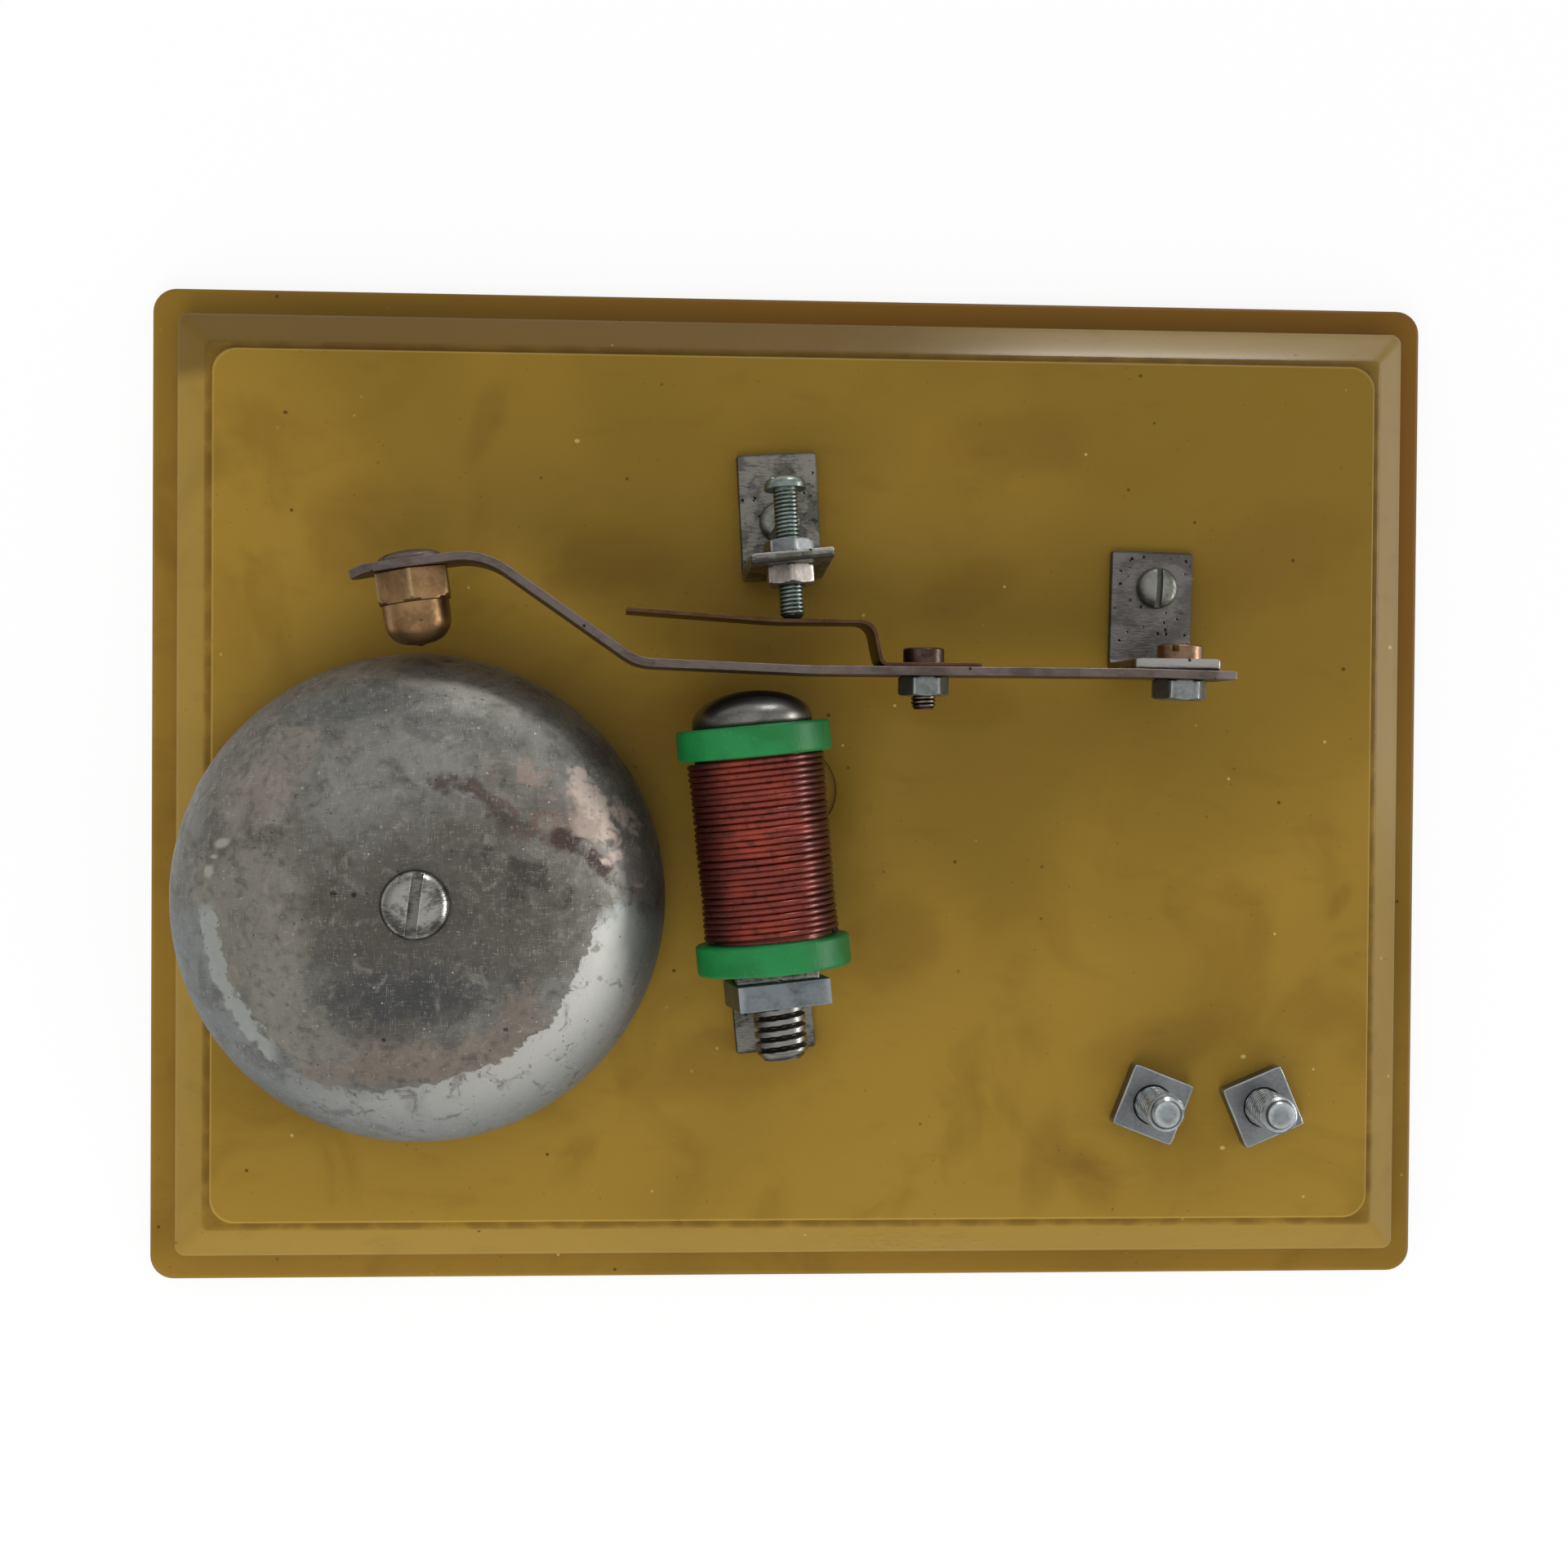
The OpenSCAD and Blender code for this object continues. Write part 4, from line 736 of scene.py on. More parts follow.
coil_x, coil_y, coil_turn, axis_z = -5.4, -6.75, 5.7, board_h + 12.0
bobbin_l, bobbin_d, flange_t, core_d = 29.7, 18.7, 3.75, 6.35
coil_place = (coil_x, coil_y, axis_z)


def rearward(turn):
    """Unit vector in the plane of the board that pointed to +Y before a turn in degrees."""
    return heading(turn)[::-1] * (-1, 1)


coil_dir = rearward(coil_turn)


def on_coil(points, offset=0.0):
    """Points modelled round +Z laid along the coil's axis, offset from the coil's middle."""
    return lay(points + (0, 0, offset), coil_place, "back", turn=coil_turn)


half, hub_r, soft = bobbin_l / 2, core_d / 2 + 1.3, 0.45
near = half - flange_t
reel = rounded_line([
    (core_d / 2 + 0.05, -half), (bobbin_d / 2, -half), (bobbin_d / 2, -near), (hub_r, -near), (hub_r, near),
    (bobbin_d / 2, near), (bobbin_d / 2, half), (core_d / 2 + 0.05, half)],
    (soft, soft, 0.3, 0.3, soft, soft), 6)
bobbin = piece("coil_reel", (on_coil(turned([(r, h) for r, h in reel], 96)), 0.0, True), crease=40)
green = Finish("green_plastic", {"IOR": 1.48, "Specular IOR Level": 0.3})
haze = green.cloud(5, 4, warp=0.3)
rub = green.cloud(0.7, 3, stretch=(1, 1, 3))
tint = green.coated(paint(12, 102, 46), ((20, 116, 56), green.rise(haze, 0.35, 0.65)),
                    ((60, 146, 88), green.rise(rub, 0.62, 0.78) * 0.5))
green.show(tint, 0.36 + 0.16 * haze, rub + haze * 0.8, 0.03)
dress(bobbin, green, "green_plastic", "base", "coil_bobbin")

wire_d, coil_wraps, coil_r = 0.765, 29, 8.3
wound_l = 2 * near


def tube(line, across, r, sides=10):
    """Round wire: a circle of radius r carried along a line of points. across holds a
    direction square to the line at each point."""
    ahead = unit(np.gradient(line, axis=0))
    across = unit(across - ahead * (across * ahead).sum(1)[:, None])
    over = np.cross(ahead, across)
    angle = np.linspace(0, 2 * np.pi, sides, endpoint=False)[:, None]
    return line[:, None] + r * (np.cos(angle) * across[:, None] + np.sin(angle) * over[:, None])


steps = 64
wrap = np.linspace(0, coil_wraps, coil_wraps * steps + 1)
slack = np.sin(wrap * 2.1 + 0.4) * 0.5 + np.sin(wrap * 0.83 + 2) * 0.7 + np.sin(wrap * 5.3) * 0.25
drift = (wound_l - wire_d) * (0.5 - wrap / coil_wraps) + 0.10 * slack * np.sin(np.pi * wrap / coil_wraps)
swell = 0.12 * bell(wrap - 1.5, 2.5) - 0.12 * bell(wrap - 22, 5)
lay_r = coil_r - wire_d / 2 - 0.03 + swell - 0.05 * (0.5 + 0.5 * np.sin(wrap * 3.7 + 1)) * (wrap > 1)
angle = 2 * np.pi * wrap
helix = np.stack([lay_r * np.cos(angle), lay_r * np.sin(angle) * -1, drift], -1)
fall = np.linspace(0, 1, 8)[1:, None]
first = helix[0] + fall[::-1] * (0, 2.2, 0)
winding_line = np.vstack([first, helix])
axis_way = np.broadcast_to((0.0, 0.0, 1.0), winding_line.shape)
coil_wire = tube(winding_line, axis_way, wire_d / 2)
winding = piece("copper_winding", (on_coil(coil_wire), 0.0, False), crease=80)
copper = Finish("enamelled_copper", {"IOR": 1.55})
x, y, z = copper.parts()
hue = copper.cloud(3, 3, stretch=(0.5, 1, 1))
shade = copper.cloud(0.9, 2)
# The enamel is painted darker on both sides of the winding, away from its top: painted shade where the round
# winding turns from the light above. Leads that run far off the coil's axis take the same darkening.
off_axis_for_side_shade = (x - coil_x) * coil_dir[1] - (y - coil_y) * coil_dir[0]
tint = copper.coated(paint(110, 38, 27), ((136, 52, 34), copper.rise(hue, 0.38, 0.66)),
                     ((56, 20, 15), copper.rise(shade, 0.5, 0.74) * 0.65),
                     ((40, 16, 14), copper.rise(off_axis_for_side_shade.math("ABSOLUTE"), 3.2, 7.0) * 0.8))
copper.show(tint, 0.2 + 0.18 * hue, shade, 0.012, Metallic=0.3 + 0.25 * hue)
dress(winding, copper, "enamelled_copper", "base", "winding_outer")

inner_r, inner_rows = coil_r - wire_d - 0.12, 300
sleeve_z = np.linspace(-near + 0.02, near - 0.02, inner_rows)
ridge = np.abs(np.sin(np.pi * sleeve_z / 0.76))
sleeve = turned([(inner_r - 0.1 + 0.08 * k, h) for k, h in zip(ridge, sleeve_z)], 56)
tube_side = turned([(hub_r + 0.02, near - 0.02), (hub_r + 0.02, -near + 0.02)], 56)
under_layers = piece("covered_layers", (on_coil(np.concatenate([sleeve, tube_side])), 0.0, True), crease=60)
dress(under_layers, copper, "enamelled_copper", "base", "winding_inner")

head_d, head_h, head_rim, plate_t = 14.6, 4.2, 0.6, 1.2
core_l, core_plain, core_pitch, core_nut_w, core_nut_t = 40.6, 28.0, 1.27, 11.4, 3.1
mushroom = [(0.0, 0.0), (head_d / 2 - 0.1, 0.0), (head_d / 2, 0.12)] + [
    (head_d / 2 * np.cos(a), head_rim + (head_h - head_rim) * np.sin(a))
    for a in np.radians(np.linspace(0, 90, 22))]
head = (on_coil(turned(mushroom, 72), half), 0.25, False)
rod_points, rod_wear, _ = threaded(core_d, core_pitch, core_l, core_plain, 0.9, places=56, steps=12)
rod_out = lay(np.array([0, 0, half]), coil_place, "back", turn=coil_turn)
rod = (lay(rod_points, rod_out, "front", turn=coil_turn), rod_wear, False)
dark_steel = metal("dark_steel", (118, 116, 112), (90, 87, 84), (72, 69, 64), patch=5,
                   rough=(0.26, 0.4), grain=(1, 5, 1), depth=0.012, rubbed=(138, 138, 132), rub=0.75)
core = piece("core_coach_bolt", head, rod, crease=42)
dress(core, dark_steel, "dark_steel", "base", "core_bolt")

square = nut(core_nut_w, core_nut_t, core_d, 4, both=False, round_corner=0.08)
nut_out = lay(np.array([0, 0, half + plate_t]), coil_place, "front", turn=coil_turn)
cast = metal("square_nut_steel", (118, 124, 128), (98, 104, 106), (78, 80, 76), patch=4,
             rough=(0.34, 0.52), depth=0.04, rubbed=(156, 162, 162))
core_nut = piece("core_square_nut", put(square, nut_out, "front", spin=-6, turn=coil_turn), crease=28)
dress(core_nut, cast, "zinc_steel", "base", "core_nut")


def bent_sheet(line, width, thickness, corner=0.0, edge=0.12):
    """Sheet bent along a line [u, v]: a rounded rectangle, thickness across the line and
    width square to its plane, carried along it. Towards both ends it narrows by a quarter
    circle of radius corner, and its edges by one of radius edge. Rows are [u, v, w]."""
    step = np.concatenate([[0], np.cumsum(np.linalg.norm(np.diff(line, axis=0), axis=1))])
    length = step[-1]
    close = edge * np.array([0, 0.06, 0.25, 0.6, 1.0])
    if corner:
        close = np.concatenate([close, corner * (1 - np.cos(np.radians(np.linspace(25, 90, 7))))])
    along = np.unique(np.round(np.concatenate([close, length - close, step[1:-1],
                                               np.linspace(edge, length - edge, int(length / 0.7) + 3)]), 4))
    before, middle, after = (np.stack([np.interp(along + shift, step, line[:, k]) for k in (0, 1)], -1)
                             for shift in (-0.05, 0.0, 0.05))
    ahead = unit(after - before)
    side = np.stack([-ahead[:, 1], ahead[:, 0]], -1)
    left = np.minimum(along, length - along)[:, None]

    def drawn_in(radius):
        """How far a quarter circle of a radius pulls the edge in, at each distance."""
        inside = np.clip(radius - left, 0, radius) if radius else 0 * left
        return radius - np.sqrt(np.maximum(radius**2 - inside**2, 0))

    turn = np.radians(np.linspace(0, 90, 5))
    quarters = [(sx, sy, turn + q * np.pi / 2) for q, (sx, sy) in enumerate(square_corners)]
    u = np.concatenate([sx * (thickness / 2 - edge) + edge * np.cos(a) for sx, sy, a in quarters])
    w = np.concatenate([sy * (width / 2 - edge) + edge * np.sin(a) for sx, sy, a in quarters])
    rim = np.concatenate([np.sin(2 * (a % (np.pi / 2))) * 0.6 + 0.4 for _, _, a in quarters])
    across = u - np.sign(u) * drawn_in(edge)
    high = w - np.sign(w) * (drawn_in(corner) + drawn_in(edge))
    plane = middle[:, None] + side[:, None] * across[..., None]
    wear = np.maximum(rim * 0.9, bell(left, 0.35))
    return np.dstack([plane, high]), wear, False


def bracket(foot, height, width, lean=0.0, bow=0.0):
    """Angle bracket: sheet from the foot's end, round the bend and up. Local x is its width and
    y runs along the foot. The upright leans back by lean degrees, and its outer face is on
    y = 0 at the level of its bore. bow bends the upright's left side forward, as the square
    of the distance from its middle and of the height."""
    along = heading(lean)[::-1]
    inner = np.array([0, axis_z - board_h]) + plate_t / 2 * along[::-1] * (1, -1)
    at_level = [inner + along * (level - inner[1]) / along[1] for level in (plate_t / 2, height)]
    line = rounded_line([(foot, plate_t / 2), *at_level], [0.5 + plate_t / 2], 9)
    points, wear, ring = bent_sheet(line, width, plate_t, corner=0.35, edge=0.2)
    points = np.roll(points, 1, -1)
    level = points[..., 2]
    points[..., 1] -= bow * np.clip(-points[..., 0] / 5, 0, 1) ** 2 * np.clip(level / height, 0, 1) ** 2
    # The front of the upright's top edge gets a wear below 0 and so the soil tone: painted shade there. The
    # clamp's bracket has it written over further down.
    front = points[..., 1] < points[..., 1][level > height - 0.3].mean() + 0.1
    wear = np.where((level > height - 0.6) & front, -0.8, wear)
    return points, np.where(level < 2.4, wear * -0.7, wear), ring


def along_axis(grid, at, turn, mirror=1.0):
    """A bracket set on the board: its foot runs to +Y, or to -Y if mirrored, then turned."""
    return put((grid[0] * (1, mirror, 1), *grid[1:]), (*at, board_h), turn=turn)


sheet_grey = metal("galvanised_sheet", (128, 126, 118), (92, 90, 83), (54, 51, 45), patch=3.2,
                   dulled=(0.45, 0.56), soiled=(0.54, 0.66), rough=(0.32, 0.52), grain=(0.6, 3, 1),
                   depth=0.07, rubbed=(170, 170, 164), pits=0.22)
coil_foot = np.array([coil_x, coil_y]) - coil_dir * half
angle_plate = along_axis(bracket(11.3, 16.4, 10.0), coil_foot, coil_turn, -1.0)
coil_angle = piece("coil_angle_bracket", angle_plate, crease=40)
dress(coil_angle, sheet_grey, "galvanised_sheet", "base", "coil_bracket")


m3_d, m3_pitch, m3_flats, m3_nut_t = 3.0, 0.5, 5.5, 2.4


def small_thread(d, pitch, length):
    """The thread of one of the bell's small screws."""
    return threaded(d, pitch, length, places=28, steps=8, chamfer=0.4)


def foot_screw(name, bracket_name, at, spin, head_d=5.2, nut_drop=0.0):
    """M3 screw through a bracket's foot and the board, and its hexagon nut below."""
    foot_top, nut_z = board_h + plate_t, ceiling_z - nut_drop - m3_nut_t
    head = put(slotted(head_d, 1.9, 0.6, 0.8, 0.9, 1.6), (*at, foot_top - 0.01), spin=spin)
    shank = put(small_thread(m3_d, m3_pitch, foot_top - tail_z), (*at, foot_top), "down")
    screw = piece(f"{name}_screw", head, shank, crease=40)
    dress(screw, dull_steel, "zinc_steel", "base", f"{bracket_name}_screw")
    hexagon = put(nut(m3_flats, m3_nut_t, m3_d, 6, chamfer=0.35), (*at, nut_z))
    dress(piece(f"{name}_hex_nut", hexagon), pressed_zinc, "zinc_steel", "base", f"{bracket_name}_nut")


foot_screw("coil_foot", "coil_bracket", np.array([coil_x, coil_y]) - coil_dir * (half + 7.2), 20, 5.0)

# ---- Contact screw ----------------------------------------------------------------------
# A zinc-plated M3 screw that the contact spring touches, held in an angle bracket by two lock
# nuts. Turning the nuts moves the screw and so sets the gap.

arm_y, strip_t, leaf_t, leaf_rise = 14.65, 1.05, 0.5, 5.1
contact_turn, contact_lean, contact_reach, contact_l = 3.4, 5.5, 6.45, 15.8
contact_dir = rearward(contact_turn)
leaf_line_y = arm_y + strip_t / 2 + leaf_t / 2
lean_c, lean_s = heading(contact_lean)
contact_tip = np.array([-2.1, leaf_line_y + leaf_rise + leaf_t / 2 + 0.16])
contact_face = contact_tip + contact_dir * contact_reach * lean_c


def on_contact(grid, offset, along, spin=0.0):
    """A grid laid on the contact's axis, offset from the face of its bracket: its upright
    leans back, so the axis falls towards the screw's head."""
    level, wear, ring = put(grid, (0, offset, 0), along, spin)
    leaning = level @ np.array([[1, 0, 0], [0, lean_c, -lean_s], [0, lean_s, lean_c]])
    return lay(leaning, (*contact_face, axis_z), turn=contact_turn), wear, ring


contact_plate = along_axis(bracket(14.9, 17.3, 10.0, contact_lean, 0.45), contact_face, contact_turn)
contact_angle = piece("contact_angle_bracket", contact_plate, crease=40)
dress(contact_angle, sheet_grey, "galvanised_sheet", "base", "contact_bracket")
contact_foot = contact_face + contact_dir * 6.3
foot_screw("contact_foot", "contact_bracket", contact_foot, 62, nut_drop=lead_d + seat_gap)
teal_zinc = metal("teal_zinc", (128, 138, 132), (106, 116, 110), (84, 91, 85), patch=2.2,
                  rough=(0.28, 0.42), depth=0.012, rubbed=(148, 158, 152))
set_head = on_contact(slotted(5.1, 1.6, 0.4, 0.8, 0.6, 1.6), contact_l - contact_reach, "back", 35)
points, wear, ring = threaded(m3_d, m3_pitch, contact_l, places=32, steps=8, chamfer=0.5)
set_shank = on_contact((points, wear * 0.35, ring), contact_l - contact_reach, "front")
set_screw = piece("contact_set_screw", set_head, set_shank, crease=40)
dress(set_screw, teal_zinc, "zinc_steel", "contact_screw", "contact_screw")
rosy_zinc = metal("rosy_zinc", (172, 163, 156), (146, 138, 132), (98, 92, 84), patch=3,
                  rough=(0.3, 0.45), rubbed=(188, 184, 178), rub=0.7)
hexagon = nut(m3_flats, m3_nut_t, m3_d, 6, chamfer=0.4)
front_nut = piece("front_lock_nut", on_contact(hexagon, -0.05, "front"))
dress(front_nut, rosy_zinc, "zinc_steel", "lock_nut_front", "lock_nut_front")
thinner = nut(m3_flats, 1.8, m3_d, 6, chamfer=0.35)
rear_nut = piece("rear_lock_nut", on_contact(thinner, plate_t + 0.05, "back", 12))
dress(rear_nut, pressed_zinc, "zinc_steel", "lock_nut_rear", "lock_nut_rear")

# ---- Armature clamp ---------------------------------------------------------------------
# A pitted sheet-steel angle whose upright clamps the root of the armature strip, with a brass
# cheese-head screw and a steel nut. The link wire under the board ends at its foot screw.

clamp_x, clamp_turn, clamp_shift = 45.5, -1.2, 1.2
clamp_d, clamp_pitch, clamp_nut_w, clamp_nut_t = 3.5, 0.6, 6.0, 2.5
clamp_face = np.array([clamp_x, arm_y + strip_t / 2 - 0.1])
clamp_dir = rearward(clamp_turn)
clamp_side = np.array([clamp_dir[1], -clamp_dir[0]])


def on_clamp(grid, offset, along, spin=0.0):
    """A grid laid on the clamp screw's axis, offset from the face of the upright."""
    return put(grid, (*(clamp_face + clamp_dir * offset), axis_z), along, spin, clamp_turn)


pitted = metal("pitted_sheet", (112, 109, 106), (88, 85, 82), (44, 40, 37), patch=3.5,
               dulled=(0.42, 0.58), soiled=(0.58, 0.7), rough=(0.3, 0.5), grain=(0.6, 3, 1), depth=0.07,
               rubbed=(166, 165, 160), rub=0.7, pits=0.4)
clamp_plate = along_axis(bracket(15.4, 16.2, 10.4), clamp_face - clamp_side * clamp_shift, clamp_turn)
dented = clamp_plate[0]
near_top = np.clip((dented[..., 2] - 27.0) / 1.2, 0, 1)
dented[..., 1] += 0.4 * np.sin(dented[..., 0] * 1.5 + 0.8) ** 2 * near_top**2
clamp_plate[1][dented[..., 2] > 27.6] = 1.1
clamp_angle = piece("armature_angle_bracket", clamp_plate, crease=40)
dress(clamp_angle, pitted, "galvanised_sheet", "base", "armature_bracket")
armature_foot = clamp_face + clamp_dir * 10.8 - clamp_side * 0.6
foot_screw("armature_foot", "armature_bracket", armature_foot, 87, nut_drop=link_d + seat_gap)
brass = metal("dull_brass", (138, 110, 88), (112, 88, 70), (70, 50, 38), patch=2.6,
              rough=(0.28, 0.42), rubbed=(184, 160, 138), rub=0.7)
clamp_head = on_clamp(slotted(5.6, 2.0, 1.65, 0.9, 0.9, 6.0), plate_t, "back", 65)
clamp_shank = on_clamp(small_thread(clamp_d, clamp_pitch, plate_t + strip_t + clamp_nut_t), plate_t, "front")
clamp = piece("clamp_cheese_screw", clamp_head, clamp_shank, crease=38)
dress(clamp, brass, "brass_fitting", "base", "clamp_screw")
grey_nut = metal("grey_nut_steel", (128, 134, 132), (100, 105, 102), (60, 56, 50), patch=3,
                 rough=(0.3, 0.46), rubbed=(160, 164, 162), rub=0.7)
hexagon = nut(clamp_nut_w, clamp_nut_t, clamp_d, 6, chamfer=0.4)
clamp_nut = piece("clamp_hex_nut", on_clamp(hexagon, -strip_t - seat_gap, "front", 30))
dress(clamp_nut, grey_nut, "zinc_steel", "base", "clamp_nut")

# ---- Armature and hammer ----------------------------------------------------------------
# One strip of oxidised spring steel from the clamp to the hammer, bent by hand. The hammer is
# a brass cap nut on a screw through the strip, and it strikes the gong's flank.

strip_w, flex_x, strip_end_x = 10.0, 39.0, 51.3
crank, rise = np.array([-20.9, arm_y + 0.75]), 34.7
hammer_root, hammer_turn = np.array([-48.1, 26.9]), 8.2


def crossing(p, a, q, b):
    """Where the line through p at angle a meets the line through q at angle b."""
    d, e = heading(a), heading(b)
    t = (q - p) @ (e[1], -e[0]) / (d @ (e[1], -e[0]))
    return p + d * t


shoulder = crossing(crank, 180 - rise, hammer_root, hammer_turn)
nose = hammer_root - heading(hammer_turn) * 5.2
strip_tip = nose - heading(hammer_turn + 8) * 2.1
root_end = np.array([clamp_x, arm_y - 0.12]) + heading(clamp_turn) * (strip_end_x - clamp_x)
strip_line = rounded_line(
    [root_end, (flex_x, arm_y), (0, arm_y), crank, shoulder, nose, strip_tip], (60, 60, 6, 9, 4), 12)
points, wear, ring = bent_sheet(strip_line, strip_w, strip_t, edge=0.14)
tip_l = 5.0
reach_in = np.clip(tip_l - (points[..., :1].mean(1) - strip_tip[0]), 0, tip_l)
points[..., 2] *= np.sqrt(np.maximum(1 - (reach_in / tip_l) ** 2, 0.02))
wear = np.maximum(wear, np.clip(points[..., 0] - 48.3, 0, 1) * (points[..., 2] > 4.5))
strip = piece("armature_spring_strip", (points + (0, 0, axis_z), wear, ring), crease=45)
oxide = metal("oxidised_spring_steel", (106, 95, 90), (84, 74, 70), (60, 47, 40), patch=6,
              rough=(0.36, 0.56), grain=(0.4, 1, 6), depth=0.03, rubbed=(142, 134, 130), rub=0.5, pits=0.1)
dress(strip, oxide, "strip_steel", None, "armature_root", "armature_strip")
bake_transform(strip)


def on_hammer(grid, offset, along, spin=0.0):
    """A grid laid on the hammer's axis, offset from the middle of the strip."""
    return put(grid, (*(hammer_root + offset * rearward(hammer_turn)), axis_z), along, spin, hammer_turn)


cap_w, cap_l, hex_l, hammer_d, hammer_pitch = 8.5, 9.3, 4.0, 4.0, 0.7
dome_r = cap_w * 0.955 / 2
cap_angle = np.linspace(0, 2 * np.pi, 96, endpoint=False)
from_flat = (cap_angle + np.pi / 6) % (np.pi / 3) - np.pi / 6
from_corner = np.pi / 6 - np.abs(from_flat)
hexagon_r = cap_w / 2 / np.cos(from_flat) - 0.05 * bell(from_corner, 0.06)
bulge = np.radians(np.linspace(0, 90, 16))
cap_rows = [(0.0, 0.4), (1.9, 0.35), (2.1, 0.0), (np.minimum(hexagon_r - 0.15, 4.6), 0.0), (hexagon_r, 0.18),
            (hexagon_r, hex_l / 2), (hexagon_r, hex_l - 0.55),
            (np.minimum(hexagon_r, cap_w / 2 + 0.32), hex_l - 0.25),
            (np.minimum(hexagon_r, cap_w / 2 + 0.05), hex_l - 0.04), (dome_r + 0.12, hex_l),
            (dome_r, hex_l + 0.1)]
cap_rows += [(dome_r * (0.985 * np.cos(a) ** 0.72), hex_l + 2.1 + (cap_l - hex_l - 2.35) * np.sin(a))
             for a in bulge[:-1]]
cap_rows += [(0.45, cap_l - 0.16), (0.0, cap_l)]
cap_points = turned(cap_rows, 96)
corner = bell(from_corner, 0.1)
cap_wear = np.array([corner * (2 < k < 8) + 0.35 * (k in (3, 7, 8)) for k in range(len(cap_rows))])
hammer = piece("hammer_cap_nut", on_hammer((cap_points, cap_wear, False), -strip_t / 2, "front"), crease=30)
cap_brass = metal("cap_nut_brass", (146, 115, 80), (118, 91, 62), (76, 54, 38), patch=3,
                  rough=(0.28, 0.44), depth=0.025, rubbed=(186, 156, 118))
dress(hammer, cap_brass, "brass_fitting", "armature", "hammer_nut")
flat_head = on_hammer(slotted(7.6, 1.3, 0.3, 1.0, 0.6, 1.0), strip_t / 2, "back", 40)
hammer_shank = on_hammer(small_thread(hammer_d, hammer_pitch, strip_t + 3.4), strip_t / 2, "front")
hammer_screw = piece("hammer_screw_head", flat_head, hammer_shank, crease=40)
dress(hammer_screw, oxide, "strip_steel", "armature", "hammer_screw")

# ---- Contact spring ---------------------------------------------------------------------
# A thin strip of tarnished phosphor bronze, screwed to the armature: it rises off the strip,
# runs along under the contact screw's tip, and ends cut off at a slant.

leaf_w, leaf_screw_x, leaf_root_x, leaf_tip_x, leaf_bend, leaf_lean = 8.0, 13.95, 9.2, -22.2, 0.9, 12.0
leaf_run_y = leaf_line_y + leaf_rise
foot_corner = np.array([leaf_root_x - leaf_bend * np.tan(np.radians(45 - leaf_lean / 2)) - 0.05, leaf_line_y])
top_corner = foot_corner + (-leaf_rise * np.tan(np.radians(leaf_lean)), leaf_rise)
leaf_line = rounded_line([(20.5, leaf_line_y), foot_corner, top_corner, (-4.2, leaf_run_y),
                          (leaf_tip_x, leaf_run_y + 1.15)], (leaf_bend, 2.0, 30), 10)
points, wear, ring = bent_sheet(leaf_line, leaf_w, leaf_t, edge=0.08)
leaf = piece("contact_leaf", (points + (0, 0, axis_z), wear, ring), crease=45)
bronze = metal("tarnished_bronze", (88, 65, 48), (70, 51, 38), (46, 32, 24), patch=4,
               rough=(0.34, 0.5), grain=(0.5, 1, 5), depth=0.015, rubbed=(112, 78, 50), rub=0.5)
dress(leaf, bronze, "spring_bronze", None, "contact_spring_foot", "contact_spring_blade")
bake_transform(leaf)

brown_steel = metal("browned_steel", (88, 72, 66), (66, 52, 47), (42, 32, 29), patch=3,
                    rough=(0.26, 0.42), depth=0.015, rubbed=(136, 122, 112), rub=0.7)
leaf_back = (leaf_screw_x, leaf_line_y + leaf_t / 2, axis_z)
spring_head = put(slotted(5.0, 1.9, 1.6, 0.8, 0.8, 6.0), leaf_back, "back", spin=15)
spring_shank = put(small_thread(m3_d, m3_pitch, leaf_t + strip_t + 4.0), leaf_back, "front")
spring_screw = piece("leaf_cheese_screw", spring_head, spring_shank, crease=38)
dress(spring_screw, brown_steel, "dark_steel", "armature", "contact_spring_screw")
hexagon = nut(m3_flats, m3_nut_t, m3_d, 6, chamfer=0.4)
leaf_nut = piece("leaf_hex_nut", put(hexagon, (leaf_screw_x, arm_y - strip_t / 2, axis_z), "front", spin=30))
dress(leaf_nut, grey_nut, "zinc_steel", "armature", "contact_spring_nut")

# ---- Wiring -----------------------------------------------------------------------------
# The coil's two bare enamelled ends go down through the board, one to the contact bracket and
# one to the left stud. A covered link joins the right stud to the armature's bracket.

wire_z, lead_dip = 5.8, 0.48
turn_r, turns, turn_pitch = coil_r - 0.24, 23.75, (wound_l - lead_d - 0.2) / 23.75


def carried(line):
    """A direction square to a line of points, carried on from each point to the next."""
    ahead = unit(np.gradient(line, axis=0))
    across = [np.cross(ahead[0], (0.3, 0.9, 0.2))]
    for way in ahead[1:]:
        across.append(across[-1] - way * (across[-1] @ way))
    return np.array(across)


def hook(at, d, wire):
    """Loop of wire under a nut, from the +X side of a shank of diameter d round to +Y."""
    angle = np.radians(np.arange(0, 316, 9))
    r = (d + wire) / 2
    return np.stack([at[0] + r * np.cos(angle), at[1] + r * np.sin(angle),
                     np.full(len(angle), ceiling_z - 0.02 - wire / 2)], -1)


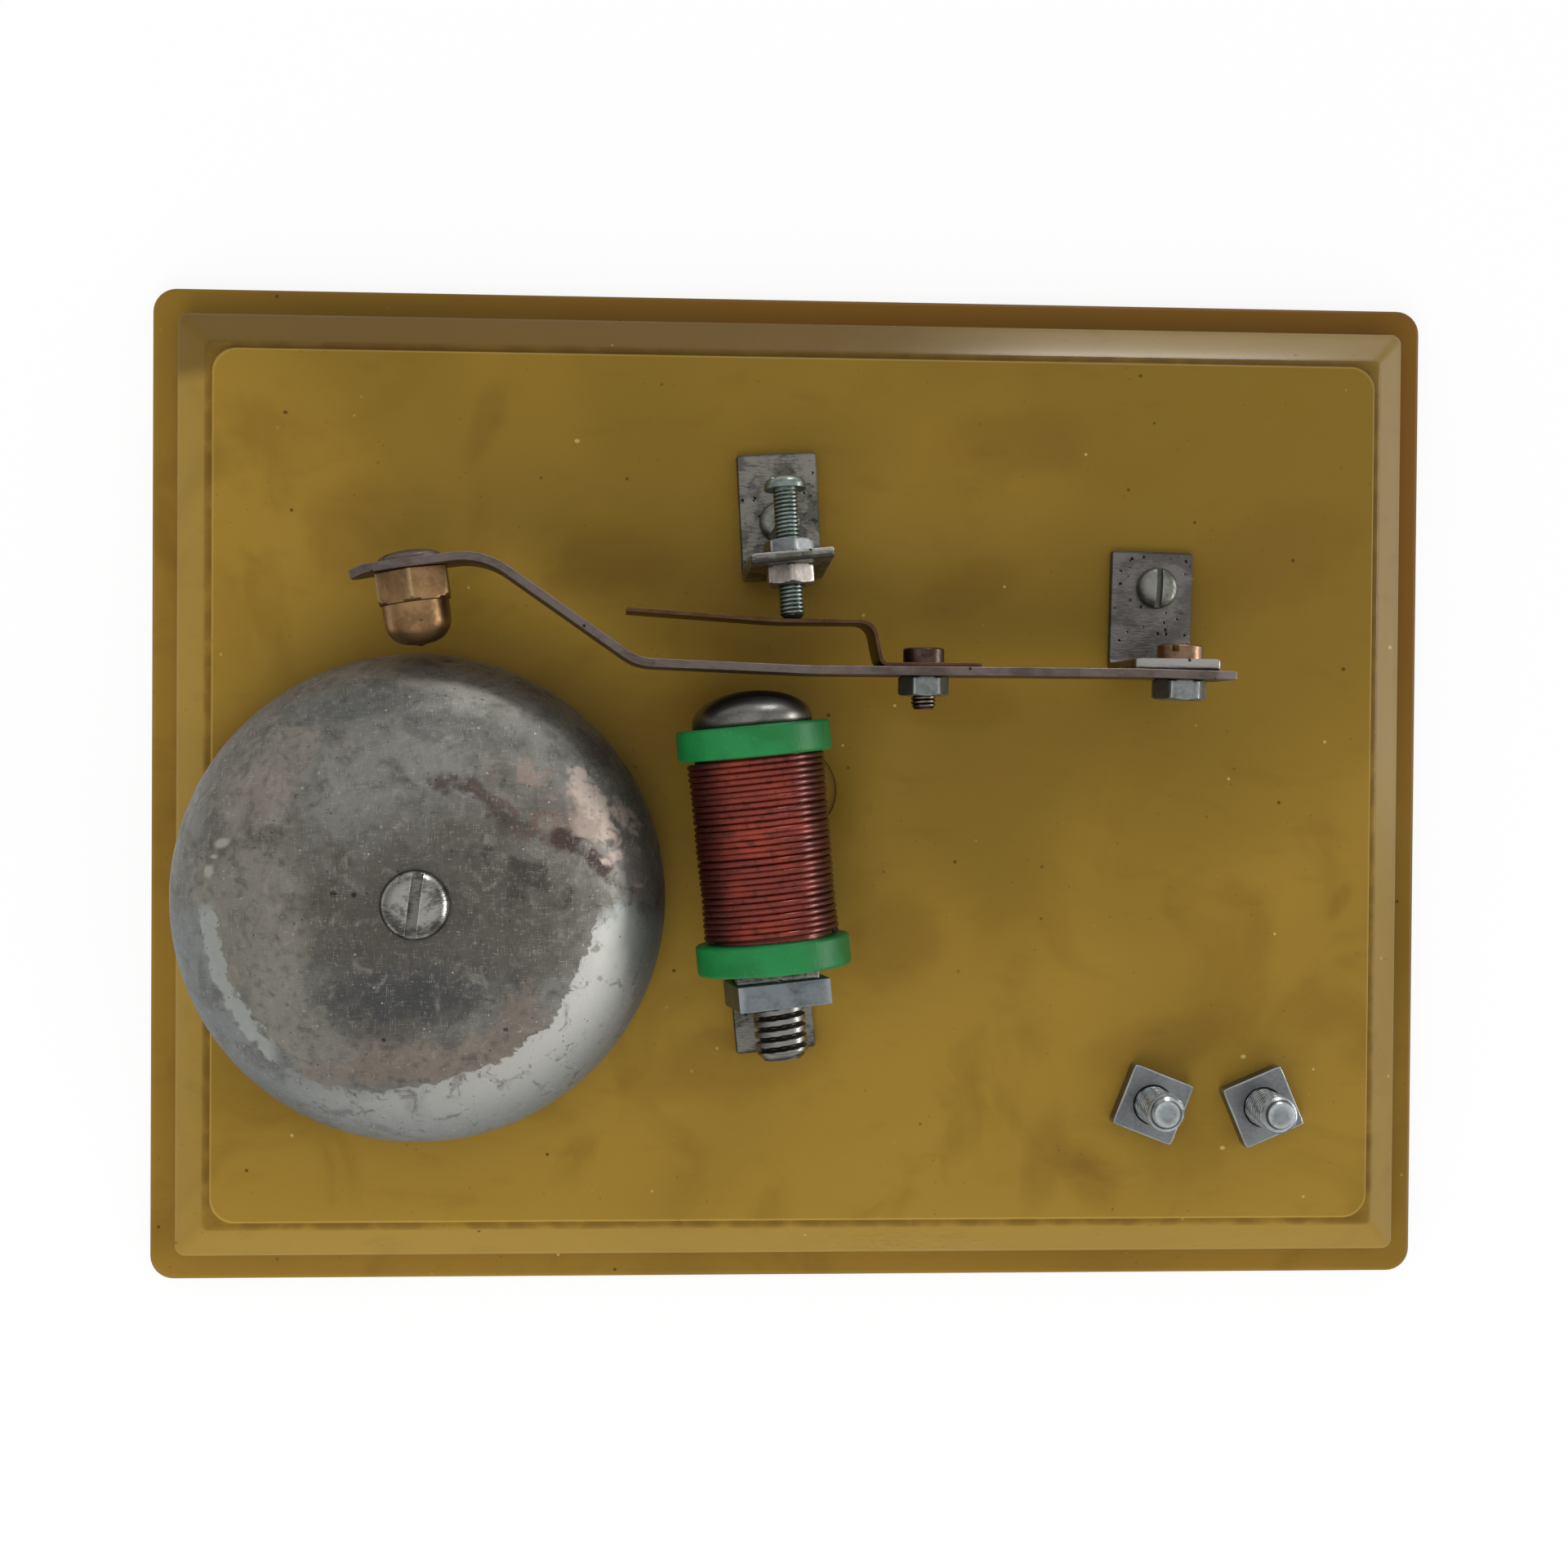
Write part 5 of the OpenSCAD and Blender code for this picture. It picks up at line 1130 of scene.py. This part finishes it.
def lead(name, line, d, finish, slot, node):
    """A wire of diameter d along a line of points."""
    made = piece(name, (tube(line, carried(line), d / 2, 12), 0.0, False), crease=80)
    dress(made, finish, slot, "base", node)


def coil_point(across, along, up):
    """A point given across the coil, along it towards the core's head, and up from its axis."""
    return lay(np.array([across, -up, along]), coil_place, "back", turn=coil_turn)


start_at = coil_point(turn_r, turn_pitch * turns / 2, 0)
end_at = coil_point(1.0, -turn_pitch * turns / 2, -turn_r - 1.0)
loop = hook(contact_foot, m3_d + 0.1, lead_d)
route = rounded_line([start_at - (0, 0, lead_dip), (*start_at[:2], wire_z),
                      (loop[0, 0], loop[0, 1] - 14, wire_z), loop[0] - (0, 4, 0), loop[0]], (2, 2, 2), 12)
lead("coil_start_lead", np.vstack([route[:-1], loop]), lead_d, copper, "enamelled_copper", "coil_lead_start")
loop = hook((45.1, -39.6), stud_d + 0.1, lead_d)
route = rounded_line([end_at - (0, 0, lead_dip), (*end_at[:2], wire_z), (18, -27, wire_z),
                      (loop[0, 0] + 1, -54, wire_z), (loop[0, 0] + 1, -51, wire_z),
                      loop[0] - (0, 4, 0), loop[0]], (2, 2, 2, 2, 2), 12)
lead("coil_end_lead", np.vstack([route[:-1], loop]), lead_d, copper, "enamelled_copper", "coil_lead_end")
first_loop = hook((59.3, -39.95), stud_d + 0.1, link_d)[::-1]
loop = hook(armature_foot, m3_d + 0.1, link_d)
route = rounded_line([first_loop[-1], first_loop[-1] - (0, 5, 0), (68, -48, wire_z), (69, -30, wire_z),
                      (50, -6, wire_z), (loop[0, 0], loop[0, 1] - 12, wire_z), loop[0] - (0, 4, 0), loop[0]],
                     (2, 2, 2, 2, 2, 2), 12)
red = Finish("red_covering", {"IOR": 1.48})
weave = red.cloud(0.8, 3)
tint = red.coated(paint(150, 30, 24), ((116, 20, 18), red.rise(weave, 0.4, 0.65)))
red.show(tint, 0.45 + 0.15 * weave, weave)
link_line = np.vstack([first_loop[:-1], route[:-1], loop])
lead("red_link_wire", link_line, link_d, red, "red_insulation", "link_wire")
